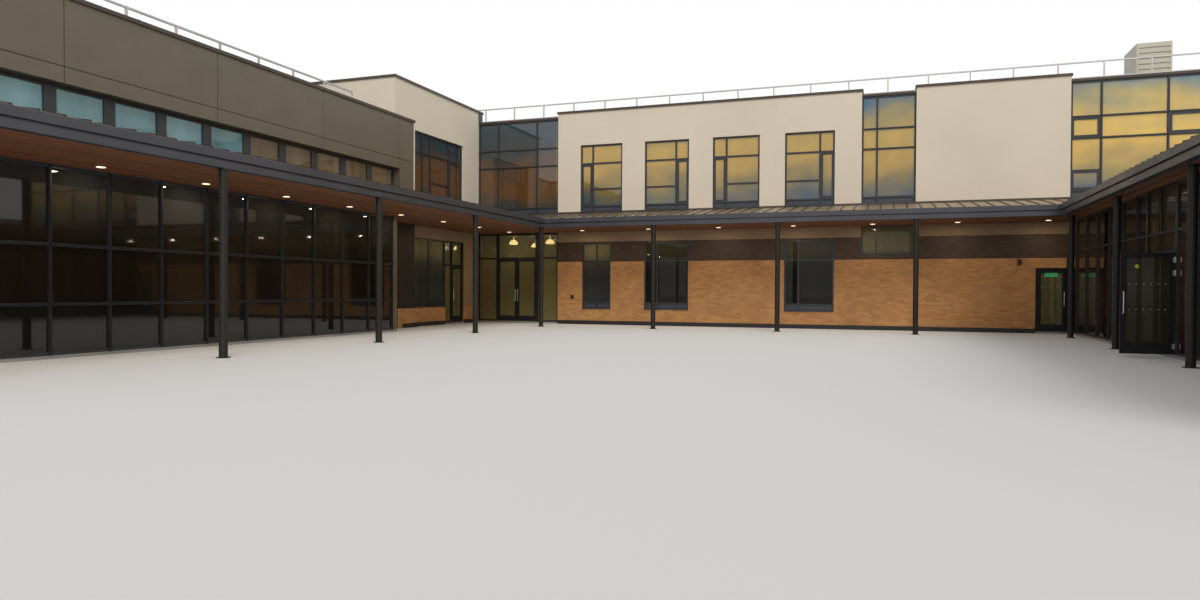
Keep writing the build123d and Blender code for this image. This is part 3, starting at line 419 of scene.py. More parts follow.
# Hall panes carry painted reflections: dark low down and a warm painted sky at the top; on the
# clerestory where Y is below CLERESTORY_BAR a painted blue sky takes its place.
HALL_REFLECTION_TONES = [(0.02, 0.02, 0.019), (0.03, 0.021, 0.013), (0.034, 0.027, 0.017)]
finishes = {
    "brick": brickwork("buff_brick", (0.58, 0.285, 0.10), (0.42, 0.195, 0.065),
                       (0.47, 0.32, 0.18), 0.85),
    "dark_band": brickwork("dark_brick", (0.072, 0.038, 0.018), (0.045, 0.023, 0.011),
                           (0.045, 0.032, 0.022), 0.6),
    "render": rendered("warm_render", (0.78, 0.69, 0.56), 0.09),
    "band_render": rendered("grey_brown_render", (0.29, 0.195, 0.118), 0.14),
    "concrete": concrete("cast_slab", (0.32, 0.31, 0.29)),
    "roof_membrane": concrete("roof_sheet", (0.16, 0.165, 0.17)),
    "cladding": painted("bronze_panels", (0.15, 0.126, 0.088), 0.42, 0.06, metallic=0.35),
    "window_frame": painted("frame_paint", (0.025, 0.027, 0.031), 0.4, 0.1),
    "glass": glazing("hall_panes_painted_reflections", [*HALL_REFLECTION_TONES, (0.05, 0.05, 0.045), (0.46, 0.33, 0.19)],
                     low=0.3, high=4.9, alpha=0.8, sheen=1.6, drift=0.1, painted_streak=0.8,
                     second=("Y", CLERESTORY_BAR, [*HALL_REFLECTION_TONES, (0.05, 0.06, 0.065),
                                                   (0.46, 0.90, 1.0)])),
    "sill_panel": painted("panel_paint", (0.05, 0.06, 0.08), 0.45, 0.08),
    "canopy_metal": painted("seamed_roof", (0.075, 0.075, 0.085), 0.38, 0.1, metallic=0.5),
    "soffit_boards": painted("soffit_backing", (0.03, 0.02, 0.016), 0.8, 0.1),
    "post_metal": painted("post_paint", (0.017, 0.015, 0.012), 0.5, 0.12, shine=0.3),
    "lamp": lit("lamp_cover", (1.0, 0.80, 0.52), 1.7),
    "coping_metal": painted("coping_metal", (0.075, 0.058, 0.044), 0.4, 0.1, metallic=0.4),
    "rail_steel": painted("galvanised_rail", (0.56, 0.52, 0.50), 0.45, 0.1, metallic=0.45),
    "plant_metal": painted("plant_casing", (0.62, 0.58, 0.47), 0.5, 0.06),
}
steel = painted("brushed_pull", (0.55, 0.55, 0.54), 0.3, 0.08, metallic=1.0, grain=120.0)
boards = boarded("stained_boards", (0.19, 0.066, 0.019), (0.095, 0.031, 0.009))
black = painted("black_fitting", (0.012, 0.012, 0.013), 0.45, 0.1)
pale = painted("pale_dots", (0.42, 0.43, 0.42), 0.5, 0.05)
# Canopy roof: the trays' warm tan is a painted sun glint and the seams' dark tone a painted shadow,
# both on one roof metal.
roof_sheet = painted("roof_trays_painted_glint", (0.31, 0.235, 0.155), 0.4, 0.12, metallic=0.4, grain=14.0)
seam_metal_painted_shadow = painted("roof_seams_painted_shadow", (0.05, 0.045, 0.045), 0.4, 0.1, metallic=0.4)
door_paint = painted("door_paint", (0.010, 0.0105, 0.012), 0.5, 0.12, shine=0.28)
glow = lit("pendant_glow", (1.0, 0.74, 0.3), 13.0)
sticker = painted("plain_sticker", (0.55, 0.62, 0.05), 0.5, 0.06)
sign_glow = lit("plain_green_plate", (0.03, 0.24, 0.09), 0.45)
# Upper panes: painted reflections of a sunset sky, dark blue low down and at the top and gold
# between, with painted light of rooms behind; the step brightens them from X 8 to 12 as painted
# light, and the panes left of CORNER_END get darker painted tones.
sunset_reflection_glass = glazing(
    "upper_panes_painted_reflections",
    [(0.05, 0.09, 0.13), (0.30, 0.22, 0.06), (0.62, 0.39, 0.07), (0.66, 0.43, 0.08),
     (0.36, 0.30, 0.13), (0.05, 0.15, 0.25)],
    low=4.5, high=8.2, alpha=0.96, sheen=1.8, drift=0.6, painted_streak=0.3,
    steps=[(8.0, 12.0, 1.0, 1.6)],
    second=("X", CORNER_END,
            [(0.05, 0.06, 0.05), (0.17, 0.075, 0.022), (0.15, 0.07, 0.025),
             (0.035, 0.055, 0.065), (0.035, 0.06, 0.075), (0.05, 0.10, 0.14)]))
# Lobby and door panes: the warm body colour is painted light of the lit rooms behind; beyond X
# 10.55 it drops to 0.3 as painted shade.
painted_room_light_glass = glazing(
    "lobby_panes_painted_room_light",
    [(0.22, 0.20, 0.085), (0.19, 0.16, 0.06), (0.21, 0.18, 0.075), (0.27, 0.25, 0.13)],
    low=0.1, high=3.5, alpha=0.75, sheen=1.5, drift=0.2, painted_streak=0.5,
    steps=[(10.5, 10.55, 1.0, 0.3)])
# Room-wing panes: the orange-brown bands and upright streaks are painted reflections and painted
# room light.
room_glass = glazing(
    "room_panes_painted_reflections",
    [(0.04, 0.032, 0.024), (0.13, 0.052, 0.018), (0.11, 0.048, 0.018), (0.036, 0.024, 0.017),
     (0.045, 0.03, 0.02)],
    low=0.1, high=3.5, alpha=0.86, sheen=1.6, drift=0.08, painted_streak=1.2)
# Outer panes: dark low down, lighter and bluer towards the top as a painted sky reflection.
painted_sky_outer_glass = glazing(
    "outer_panes_painted_sky",
    [(0.022, 0.024, 0.024), (0.035, 0.038, 0.036), (0.05, 0.06, 0.062), (0.15, 0.15, 0.11),
     (0.12, 0.17, 0.20)],
    low=0.6, high=7.4, alpha=0.95, sheen=1.5, drift=0.25, painted_streak=0.4)
# Court door leaf panes: the olive body colour and its streaks are painted light and painted
# reflections.
painted_light_leaf_glass = glazing(
    "court_leaf_panes_painted_light",
    [(0.10, 0.095, 0.05), (0.085, 0.075, 0.04), (0.10, 0.095, 0.055), (0.06, 0.056, 0.036)],
    low=0.1, high=2.1, alpha=0.86, sheen=1.5, drift=0.3, painted_streak=0.9)
# Ground-floor panes: near black with a painted reflection towards the top; the steps along X
# brighten the panes left of X -4.9 fourfold and those between X 4.2 and 6.0 by 2.6, as painted
# light.
painted_light_ground_glass = glazing(
    "ground_panes_painted_light_and_shade",
    [(0.013, 0.014, 0.014), (0.016, 0.016, 0.014), (0.013, 0.013, 0.012), (0.02, 0.019, 0.015),
     (0.07, 0.06, 0.03)],
    low=0.7, high=2.75, alpha=0.96, sheen=1.3, drift=0.05, painted_streak=0.6,
    steps=[(-4.9, -4.85, 4.0, 1.0), (4.2, 4.25, 1.0, 2.6), (5.95, 6.0, 1.0, 0.38)])
special = {"upper_glass": sunset_reflection_glass, "outer_window_glass": painted_sky_outer_glass,
           "room_glass": room_glass, "court_door_open_glass": painted_light_leaf_glass,
           "court_door_shut_glass": painted_light_leaf_glass, "ground_window_glass": painted_light_ground_glass,
           "door_glass": painted_room_light_glass, "lobby_door_left_glass": painted_room_light_glass,
           "lobby_door_right_glass": painted_room_light_glass, "exit_door_glass": painted_room_light_glass,
           "recess_door_glass": painted_room_light_glass,
           "door_frames": door_paint, "door_heads": door_paint,
           **{leaf: door_paint for leaf in LEAVES},
           "recess_pillar": painted("dark_pillar", (0.022, 0.017, 0.012), 0.5, 0.1, metallic=0.3),
           "recess_walls": rendered("brown_pier", (0.30, 0.195, 0.11), 0.12)}
for entry in frame["record"]["subparts"]:
    node = frame["nodes"][entry["node"]]
    finish = special.get(entry["node"], finishes[entry["material_slot"]])
    if node.data.materials:
        for slot_index in range(len(node.data.materials)):
            node.data.materials[slot_index] = finish
    else:
        node.data.materials.append(finish)

# ---------------------------------------------------------------- canopy soffit
BOARD, GAP = 0.13, 0.009
LEFT_MITRE = CANOPY_LEFT + CANOPY_BACK      # x + y on the left valley
RIGHT_MITRE = CANOPY_RIGHT - CANOPY_BACK    # x - y on the right valley
HALL_SIDE = HALL_FACE + 0.006
ROOM_SIDE = ROOM_FACE - 0.006


def board_run(name, low, high, near_end, far_end, along_y):
    """Boards side by side from low to high. Each runs from near_end(c) to far_end(c), where c is
    the place across the boards, so an end can follow a mitre; u runs along and v counts boards."""
    edges = np.arange(low, high - 0.03, BOARD + GAP)
    across = np.stack([edges, np.minimum(edges + BOARD, high)], axis=1)
    near, far = near_end(across), far_end(across)
    keep = (far - near).min(axis=1) > 0.05
    across, near, far = across[keep], near[keep], far[keep]
    sides = np.stack([across[:, 0], across[:, 1], across[:, 1], across[:, 0]], axis=1)
    lengths = np.stack([near[:, 0], near[:, 1], far[:, 1], far[:, 0]], axis=1)
    flat = np.stack([sides, lengths], axis=-1)
    if not along_y:
        flat = flat[..., ::-1]
    points = np.zeros((len(flat), 8, 3))
    points[:, :4, :2] = flat
    points[:, 4:, :2] = flat
    points[:, :4, 2] = SOFFIT + 0.002
    points[:, 4:, 2] = CEILING - 0.001
    faces = BAR_FACES + 8 * np.arange(len(points))[:, None, None]
    count = np.arange(len(points))[:, None] + np.array([0.05, 0.9, 0.9, 0.05])
    uv = np.tile(np.stack([lengths, count], axis=-1), (1, 2, 1)).reshape(-1, 2)
    return surface(name, points, faces.reshape(-1, 4), boards, "soffit_boards", uv=uv)


def steady(value):
    """The same end for every board."""
    return lambda across: np.full_like(across, value)


hall_boards = board_run("hall_soffit_boards", HALL_SIDE, CANOPY_LEFT - EDGE_BEAM - 0.004,
                        steady(FRONT), lambda c: np.minimum(LEFT_MITRE - c, COURT_FACE), True)
board_run("back_soffit_boards", CANOPY_BACK + EDGE_BEAM + 0.004, COURT_FACE - 0.004,
          lambda c: LEFT_MITRE - c + 0.008,
          lambda c: np.minimum(RIGHT_MITRE + c, ROOM_SIDE) - 0.008, False)
board_run("room_soffit_boards", CANOPY_RIGHT + EDGE_BEAM + 0.004, ROOM_SIDE,
          steady(FRONT), lambda c: c - RIGHT_MITRE, True)
board_run("recess_soffit_boards", BLOCK_FACE + 0.004, HALL_FACE - 0.004,
          steady(HALL_END), steady(COURT_FACE), True)
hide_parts("canopy_soffit")

# ---------------------------------------------------------------- canopy roof seams
SEAM_PITCH, SEAM_WIDTH, SEAM_HEIGHT = 0.4, 0.03, 0.035


def roof_run(name, edge, inner, start, places, along_x):
    """Metal roof of one canopy: trays with a standing seam between each two, the trays' tan a
    painted sun glint and the seams' dark tone a painted shadow. Everything lies at z = eaves +
    slope times the distance from the canopy's edge, from start(place) at the eaves or valley to the
    wall."""
    def upon_slope(place, reach, lift):
        level = EAVES + ROOF_SLOPE * np.abs(reach - edge) + lift
        pair = (reach, place) if along_x else (place, reach)
        return np.stack([*pair, level], axis=-1)

    stop = np.full_like(places, inner)
    keep = np.abs(stop - start(places)) > 0.15
    seams = bars(upon_slope(places[keep], start(places[keep]), SEAM_HEIGHT / 2 - 0.002),
                 upon_slope(places[keep], stop[keep], SEAM_HEIGHT / 2 - 0.002),
                 SEAM_WIDTH, SEAM_HEIGHT)
    sides = np.stack([places[:-1] + SEAM_WIDTH / 2, places[1:] - SEAM_WIDTH / 2], axis=1)
    near, far = start(sides), np.full_like(sides, inner)
    long_enough = (np.abs(far - near) > 0.1).all(axis=1)
    sides, near, far = sides[long_enough], near[long_enough], far[long_enough]
    rims = [upon_slope(sides[:, i], reach[:, i], lift) for lift in (-0.002, 0.006)
            for i, reach in ((0, near), (1, near), (1, far), (0, far))]
    corners = np.stack(rims, axis=1)
    faces = (BAR_FACES + 8 * np.arange(len(corners))[:, None, None]).reshape(-1, 4)
    surface(name + "_roof_seams_painted_shadow", *seams, seam_metal_painted_shadow, "canopy_metal")
    surface(name + "_roof_trays_painted_glint", corners, faces, roof_sheet, "canopy_metal")


along_hall = np.arange(FRONT + 0.25, COURT_FACE - 0.1, SEAM_PITCH)
roof_run("hall", CANOPY_LEFT, HALL_FACE + 0.012,
         lambda y: np.minimum(CANOPY_LEFT - 0.012, LEFT_MITRE - y), along_hall, True)
roof_run("room", CANOPY_RIGHT, CANOPY_INNER - 0.012,
         lambda y: np.maximum(CANOPY_RIGHT + 0.012, RIGHT_MITRE + y), along_hall, True)
along_back = np.arange(HALL_FACE + 0.2, CANOPY_INNER - 0.1, SEAM_PITCH)
roof_run("back", CANOPY_BACK, COURT_FACE - 0.012,
         lambda x: np.maximum.reduce([np.full_like(x, CANOPY_BACK + 0.012), LEFT_MITRE - x,
                                      x - RIGHT_MITRE]), along_back, False)

# ---------------------------------------------------------------- lamps
downlight_rim = [(0.098, SOFFIT + 0.002), (0.098, SOFFIT - 0.007), (0.083, SOFFIT - 0.012),
                 (0.083, SOFFIT + 0.002)]
lamp_low, lamp_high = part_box("downlights")
LAMP_RADIUS, HALL_LAMP_PITCH, BACK_LAMP_PITCH = 0.074, 2.45, 2.58
hall_row = np.arange(lamp_high[1] - LAMP_RADIUS, lamp_low[1], -HALL_LAMP_PITCH)
back_row = np.arange(lamp_high[0] - LAMP_RADIUS, lamp_low[0] + 2.0, -BACK_LAMP_PITCH)
lamp_spots = [(lamp_low[0] + LAMP_RADIUS, y, 0.0) for y in hall_row]
lamp_spots += [(x, lamp_high[1] - LAMP_RADIUS, 0.0) for x in back_row]
points, faces = turned(downlight_rim, lamp_spots)
surface("downlight_rims", points, faces, steel, "rail_steel")

# Shade of a pendant: half an ellipse, r = 0.022 + 0.17 sin t and h = 0.175 cos t, under its rod
pendant_low, pendant_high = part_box("lobby_pendants")
PENDANT_RADIUS, PENDANT_PITCH, PENDANT_BACK, PENDANT_ROW = 0.19, 1.69, 1.88, 2.26
pendant_right = pendant_high[0] - PENDANT_RADIUS
pendant_rows = (COURT_FACE + PENDANT_BACK, COURT_FACE + PENDANT_BACK + PENDANT_ROW)
pendant_spots = [(x, y, 0.0) for x in (pendant_right, pendant_right - PENDANT_PITCH)
                 for y in pendant_rows]
pendant_spots.append((pendant_low[0] + PENDANT_RADIUS, pendant_high[1] - PENDANT_RADIUS, 0.0))
reach = np.linspace(0.0, 1.0, 9)
shade_radius = 0.022 + 0.17 * np.sin(reach * np.pi / 2)
shade_height = pendant_low[2] + 0.175 * np.cos(reach * np.pi / 2)
shade = [(0.014, CEILING - 0.004), (0.014, pendant_low[2] + 0.19)]
shade += list(zip(shade_radius, shade_height + 0.004)) + [(0.186, pendant_low[2] - 0.004)]
points, faces = turned(shade, pendant_spots)
pendants = surface("pendant_shades", points, faces, glow, "lamp", smooth=True)
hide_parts("lobby_pendants")

# ---------------------------------------------------------------- post feet and wall fittings
post_low, post_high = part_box("canopy_posts")
POST, POST_PITCH = 0.08, 4.92
side_rows = np.arange(post_high[1] - POST - POST_PITCH, post_low[1], -POST_PITCH)
post_spots = [(x, post_high[1] - POST, 0.0)
              for x in np.linspace(post_low[0] + POST, post_high[0] - POST, 5)]
post_spots += [(x, y, 0.0) for x in (post_low[0] + POST, post_high[0] - POST) for y in side_rows]
points, faces = joined([
    turned([(0.13, 0.0), (0.13, 0.008), (0.126, 0.012), (0.081, 0.012)], post_spots),
    turned([(0.088, SOFFIT - 0.045), (0.09, SOFFIT - 0.042), (0.09, SOFFIT - 0.002)], post_spots)])
surface("post_feet_and_collars", points, faces, finishes["post_metal"], "post_metal")

# Dark base course with a sloping top, as (out of the wall, up) from its foot
base_profile = [(-0.002, 0.0), (0.012, 0.0), (0.012, 0.14), (-0.002, 0.15)]
PILLAR_START, PILLAR_END, PILLAR_PROUD = 1.52, 2.52, 0.2
RECESS_PLINTH_END, RECESS_PIER_START = 4.69, 6.1
points, faces = joined([
    strip(base_profile, (WALL_START, COURT_FACE, 0.0), (WALL_END, COURT_FACE, 0.0), (0, -1, 0)),
    strip(base_profile, [(BLOCK_FACE, PILLAR_END, 0.0), (BLOCK_FACE, RECESS_PIER_START, 0.0)],
          [(BLOCK_FACE, RECESS_PLINTH_END, 0.0), (BLOCK_FACE, COURT_FACE, 0.0)], (1, 0, 0)),
    strip(base_profile, (BLOCK_FACE + PILLAR_PROUD, PILLAR_START, 0.0),
          (BLOCK_FACE + PILLAR_PROUD, PILLAR_END, 0.0), (1, 0, 0))])
surface("base_course", points, faces, black, "window_frame")

# Metal cladding of the raised block's end above the low parapet, as (out of the wall, across)
HALF_WALL, END_LOW, END_HIGH = 0.175, 8.125, 8.518
end_profile = [(-0.002, -HALF_WALL), (0.012, -HALF_WALL), (0.015, 0.005 - HALF_WALL),
               (0.015, HALF_WALL - 0.005), (0.012, HALF_WALL), (-0.002, HALF_WALL)]
points, faces = strip(end_profile, (BLOCK_FACE, COURT_FACE + HALF_WALL, END_LOW),
                      (BLOCK_FACE, COURT_FACE + HALF_WALL, END_HIGH), (1, 0, 0), (0, 1, 0))
surface("block_end_cladding", points, faces, finishes["sill_panel"], "sill_panel")


def plate_on_wall(x, height, near, far, width, rise):
    """Flat plate on the courtyard wall, from near to far out of its face."""
    return bars([(x, COURT_FACE - near, height)], [(x, COURT_FACE - far, height)], width, rise)


# Wall lamp: a turned body, as (radius, height from its middle), on a back plate
WALL_LAMP_X, WALL_LAMP_HEIGHT = 9.125, 2.3
lamp_body = [(0.03, -0.1), (0.052, -0.086), (0.052, 0.06), (0.042, 0.08), (0.042, 0.092)]
points, faces = joined([
    plate_on_wall(WALL_LAMP_X, WALL_LAMP_HEIGHT, -0.002, 0.01, 0.1, 0.2),
    turned(lamp_body, (WALL_LAMP_X, COURT_FACE - 0.062, WALL_LAMP_HEIGHT))])
surface("wall_lamp", points, faces, black, "window_frame")

CALL_POINT_X, CALL_POINT_HEIGHT = -6.495, 1.055
points, faces = joined([
    plate_on_wall(CALL_POINT_X, CALL_POINT_HEIGHT, -0.002, 0.022, 0.11, 0.15),
    plate_on_wall(CALL_POINT_X, CALL_POINT_HEIGHT, 0.02, 0.036, 0.076, 0.076)])
surface("call_point", points, faces, black, "window_frame")

# Folded strip that covers the top edge of the canopy roofs where they meet the walls
flashing = [(-0.002, 0.0), (0.05, -0.008), (0.052, -0.002), (0.01, 0.008), (0.008, 0.07),
            (-0.002, 0.075)]
back_top, hall_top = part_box("back_canopy")[1][2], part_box("hall_canopy")[1][2]
points, faces = strip(flashing, (BLOCK_FACE, COURT_FACE, back_top),
                      (ROOM_FACE, COURT_FACE, back_top), (0, -1, 0))
surface("back_flashing", points, faces, finishes["coping_metal"], "coping_metal")
points, faces = strip(flashing[:3] + [(0.01, 0.006), (0.008, 0.02), (-0.002, 0.022)],
                      (HALL_FACE, FRONT, hall_top), (HALL_FACE, HALL_END, hall_top), (1, 0, 0))
surface("hall_flashing", points, faces, finishes["coping_metal"], "coping_metal")

# ---------------------------------------------------------------- glazing caps
CAP = [(-0.002, -0.025), (0.010, -0.025), (0.014, -0.019), (0.014, 0.019), (0.010, 0.025),
       (-0.002, 0.025)]
FLOOR = 0.06
HALL_TRANSOMS = (1.0, 2.1)
ROOM_MODULE, ROOM_NEAR_BAR, ROOM_FAR_BAR, ROOM_TRANSOM = 1.26, -4.09, -0.1, 2.59
DOOR_BAY = (-2.8, -0.88)
UPPER_LOW, UPPER_HEAD = 4.57, 8.04
UPPER_TRANSOMS = (6.23, 6.92)
UPPER_BARS = (-9.77, -8.07, 4.72, 11.41, 13.2, 14.99, 16.78)
UPPER_BAYS = ((BLOCK_FACE, WALL_START), (4.22, 5.97), (ROOM_FACE, 18.0))


def caps(name, face, out, uprights, levels, finish):
    """Cover caps over glazing bars: uprights are (place, low, high), levels (height, from, to)."""
    along_x = out[0] == 0
    turn = (1.0, 0.0, 0.0) if along_x else (0.0, 1.0, 0.0)

    def spot(place, height):
        flat = (place, face) if along_x else (face, place)
        return (*flat, height)

    parts = [strip(CAP, [spot(place, low) for place, low, _ in uprights],
                   [spot(place, high) for place, _, high in uprights], out, turn),
             strip(CAP, [spot(start, height) for height, start, _ in levels],
                   [spot(stop, height) for height, _, stop in levels], out)]
    surface(name, *joined(parts), finish, "window_frame")


hall_low, hall_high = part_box("hall_frames")
room_low, room_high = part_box("room_frames")
hall_places = np.linspace(hall_low[1] + 0.03, hall_high[1] - 0.03, 13)
caps("hall_caps", HALL_FACE, (1, 0, 0), [(y, FLOOR, SOFFIT) for y in hall_places],
     [(z, hall_low[1], hall_high[1]) for z in HALL_TRANSOMS], door_paint)
near_places = ROOM_NEAR_BAR - ROOM_MODULE * np.arange(9)
far_places = ROOM_FAR_BAR + ROOM_MODULE * np.arange(6)
caps("room_caps", ROOM_FACE, (-1, 0, 0),
     [(y, FLOOR, SOFFIT) for y in np.concatenate([near_places, far_places])],
     [(ROOM_TRANSOM, room_low[1], DOOR_BAY[0]), (ROOM_TRANSOM, DOOR_BAY[1], room_high[1])],
     door_paint)
caps("upper_caps", FRAME_FACE, (0, -1, 0), [(x, UPPER_LOW, UPPER_HEAD) for x in UPPER_BARS],
     [(z, *ends) for z in UPPER_TRANSOMS for ends in UPPER_BAYS], finishes["window_frame"])

# ---------------------------------------------------------------- rail feet and coping joints
rail_low, rail_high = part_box("roof_railings")
WING_DECK, HALL_DECK = 7.9, 6.3
RAIL_POST, WING_RAIL_PITCH, HALL_RAIL_PITCH, HALL_RAIL_X = 0.022, 1.34, 1.29, -10.4
rail_spots = [(x, rail_high[1] - RAIL_POST, WING_DECK)
              for x in rail_low[0] + RAIL_POST + WING_RAIL_PITCH * np.arange(27)]
rail_spots += [(HALL_RAIL_X, y, HALL_DECK)
               for y in rail_low[1] + RAIL_POST + HALL_RAIL_PITCH * np.arange(11)]
points, faces = turned([(0.07, 0.0), (0.07, 0.008), (0.045, 0.014), (0.034, 0.05)], rail_spots, 12)
surface("rail_feet", points, faces, finishes["rail_steel"], "rail_steel")

# Straps over the coping's joints, as (along the coping, up) from its top
STRAP = [(-0.03, -0.002), (-0.03, 0.005), (0.03, 0.005), (0.03, -0.002)]
WING_COPING_TOP, WING_COPING_SIDES = 8.3, (7.18, 7.61)
HALL_COPING_TOP, HALL_COPING_SIDES = 6.68, (-9.67, -9.06)
WING_JOINTS = (-4.5, -1.6, 1.3, 8.0)
HALL_FIRST_JOINT, HALL_JOINT_PITCH = 2.6, 3.0
wing_ends = [[(x, y, WING_COPING_TOP) for x in WING_JOINTS] for y in WING_COPING_SIDES]
points, faces = strip(STRAP, *wing_ends, (1, 0, 0))
surface("wing_coping_straps", points, faces, finishes["coping_metal"], "coping_metal")
hall_joints = np.arange(FRONT + HALL_FIRST_JOINT, 0.0, HALL_JOINT_PITCH)
hall_ends = [[(x, y, HALL_COPING_TOP) for y in hall_joints] for x in HALL_COPING_SIDES]
points, faces = strip(STRAP, *hall_ends, (0, 1, 0))
surface("hall_coping_straps", points, faces, finishes["coping_metal"], "coping_metal")

# ---------------------------------------------------------------- window sills
MODULE, WINDOW, NARROW_WINDOW, NARROW_START = 2.6, 1.71, 1.17, 0.09
GROUND_SILL, UPPER_SILL = 0.618, 4.368
END_PIER = 0.94
first_window = WALL_START + END_PIER
sill_left = first_window + np.array([NARROW_START, MODULE, 3 * MODULE])
sill_right = sill_left + np.array([NARROW_WINDOW, WINDOW, WINDOW])
upper_left = first_window + MODULE * np.arange(4)
ends_low = np.concatenate([sill_left, upper_left])
ends_high = np.concatenate([sill_right, upper_left + WINDOW])
level = np.array([GROUND_SILL] * 3 + [UPPER_SILL] * 4)
face = np.full(7, COURT_FACE + 0.012)
# Sill with a drip edge, as (out of the wall, up)
sill_profile = [(-0.046, -0.008), (0.046, -0.016), (0.046, -0.01), (0.042, 0.002), (-0.046, 0.008)]
points, faces = strip(sill_profile, np.stack([ends_low, face, level], 1),
                      np.stack([ends_high, face, level], 1), (0, -1, 0))
surface("window_sills", points, faces, finishes["sill_panel"], "sill_panel")

# ---------------------------------------------------------------- door furniture
joint_of = {joint["name"]: joint for joint in frame["record"]["behaviour"]["joints"]}


def leaf_axes(name):
    """Hinge point, direction to the free edge and direction out of the outer face of a leaf."""
    hinge = np.array(joint_of[name + "_hinge"]["pos_m"][:2])
    low, high = (np.array(corner[:2]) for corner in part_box(name + "_glass"))
    middle = (low + high) / 2
    way = np.where(np.abs(middle - hinge) == np.abs(middle - hinge).max(), 1.0, 0.0)
    way *= np.sign(middle - hinge)
    inward = np.sign((middle - hinge) * (1 - np.abs(way)))
    return hinge, way, -inward


def leaf_point(name, along, out, height):
    """Point at a distance along a leaf, out of its face and above the ground."""
    hinge, way, outward = leaf_axes(name)
    flat = hinge + way * along + outward * out
    return np.array([flat[0], flat[1], height])


def pull_path(name, face, reach, place, low, high, corner=0.024, steps=7):
    """D-shaped pull: out of the face, along and back, each corner a quarter circle whose points
    are centre + r (cos t, sin t) in the plane of the pull."""
    quarter = np.linspace(0, np.pi / 2, steps)
    sign = np.sign(reach - face)
    out = np.concatenate([[face], reach - sign * corner * (1 - np.sin(quarter)),
                          reach - sign * corner * (1 - np.cos(quarter)), [face]])
    rise = np.concatenate([[low], low + corner * (1 - np.cos(quarter)),
                           high - corner * (1 - np.sin(quarter)), [high]])
    return np.array([leaf_point(name, place, o, z) for o, z in zip(out, rise)])


# A leaf's own hinge barrel reaches past the axis by BARREL, and its pane's outer face lies at
# PANE_OUT from the leaf's outer face
BARREL, LEAF_DEPTH, STILE, PANE_OUT = 0.0077, 0.055, 0.095, -0.0145
PULL_LOW, PULL_HIGH, PULL_REACH, PULL_RADIUS, PULL_EDGE = 0.891, 1.349, 0.06, 0.0165, 0.048
DOT, DOTS_IN_ROW, FILM = 0.02, 6, 0.002
DOT_ROWS = {"court_door_open": (0.98, 1.5), "court_door_shut": (0.98, 1.5), "exit_door": (1.5,)}
for leaf in LEAVES:
    leaf_low, leaf_high = (np.array(corner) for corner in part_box(leaf))
    hinge, way, outward = leaf_axes(leaf)
    width = np.abs((leaf_high - leaf_low)[:2] @ np.abs(way)) - BARREL
    body = leaf + "_leaf"
    points, faces = joined([
        tube(pull_path(leaf, start, reach, width - PULL_EDGE, PULL_LOW, PULL_HIGH), PULL_RADIUS)
        for start, reach in ((0.0, PULL_REACH), (-LEAF_DEPTH, -LEAF_DEPTH - PULL_REACH))])
    surface(leaf + "_pulls", points, faces, steel, "rail_steel", body, smooth=True)
    spots = STILE + (width - 2 * STILE) * (np.arange(DOTS_IN_ROW) + 0.5) / DOTS_IN_ROW
    heights = DOT_ROWS.get(leaf, ())
    if heights:
        starts, ends = ([leaf_point(leaf, s, PANE_OUT, h + lift) for h in heights for s in spots]
                        for lift in (-DOT / 2, DOT / 2))
        points, faces = bars(starts, ends, DOT, FILM, up=(*outward, 0.0))
        surface(leaf + "_glass_dots", points, faces, pale, "plant_metal", body)
    polished = leaf.startswith("court")
    rise = leaf_high[2] - leaf_low[2]
    knuckles = leaf_low[2] + rise * np.array([0.08, 0.8, 0.93] if polished else [0.1, 0.5, 0.9])
    points, faces = joined([
        turned([(0.004, -0.064), (0.0079, -0.058), (0.0079, 0.058), (0.004, 0.064)],
               [(*hinge, z) for z in knuckles], 12),
        bars([leaf_point(leaf, 0.008, 0.0005, z) for z in knuckles],
             [leaf_point(leaf, 0.042, 0.0005, z) for z in knuckles], 0.1, 0.005,
             up=(*outward, 0.0))])
    surface(leaf + "_hinges", points, faces, steel if polished else black,
            "rail_steel" if polished else "window_frame", body)

# Bare round sticker on the open leaf's glass: a circle (r cos t, r sin t) in its plane
STICKER_RADIUS, STICKER_SIDES, STICKER_PLACE, STICKER_HEIGHT = 0.04, 28, 0.66, 1.86
turn = np.arange(STICKER_SIDES) * 2 * np.pi / STICKER_SIDES
disc = STICKER_RADIUS * np.stack([np.cos(turn), np.sin(turn)], axis=1)
way = leaf_axes("court_door_open")[1]
sticker_ends = [leaf_point("court_door_open", STICKER_PLACE, out, STICKER_HEIGHT)
                for out in (PANE_OUT, PANE_OUT + FILM)]
points, faces = strip(disc, *sticker_ends, (*way, 0.0))
surface("round_sticker", points, faces, sticker, "plant_metal", "court_door_open_leaf")

# Bare green plate on the exit door's glass, its edge chamfered: (out, across) from its middle
PLATE_PLACES, PLATE_HEIGHT = (0.2, 0.58), 1.89
plate = [(0.0, -0.07), (0.006, -0.07), (0.01, -0.064), (0.01, 0.064), (0.006, 0.07), (0.0, 0.07)]
plate_ends = [leaf_point("exit_door", place, PANE_OUT - 0.001, PLATE_HEIGHT)
              for place in PLATE_PLACES]
points, faces = strip(plate, *plate_ends, (0, -1, 0))
surface("exit_plate", points, faces, sign_glow, "lamp", "exit_door_leaf")

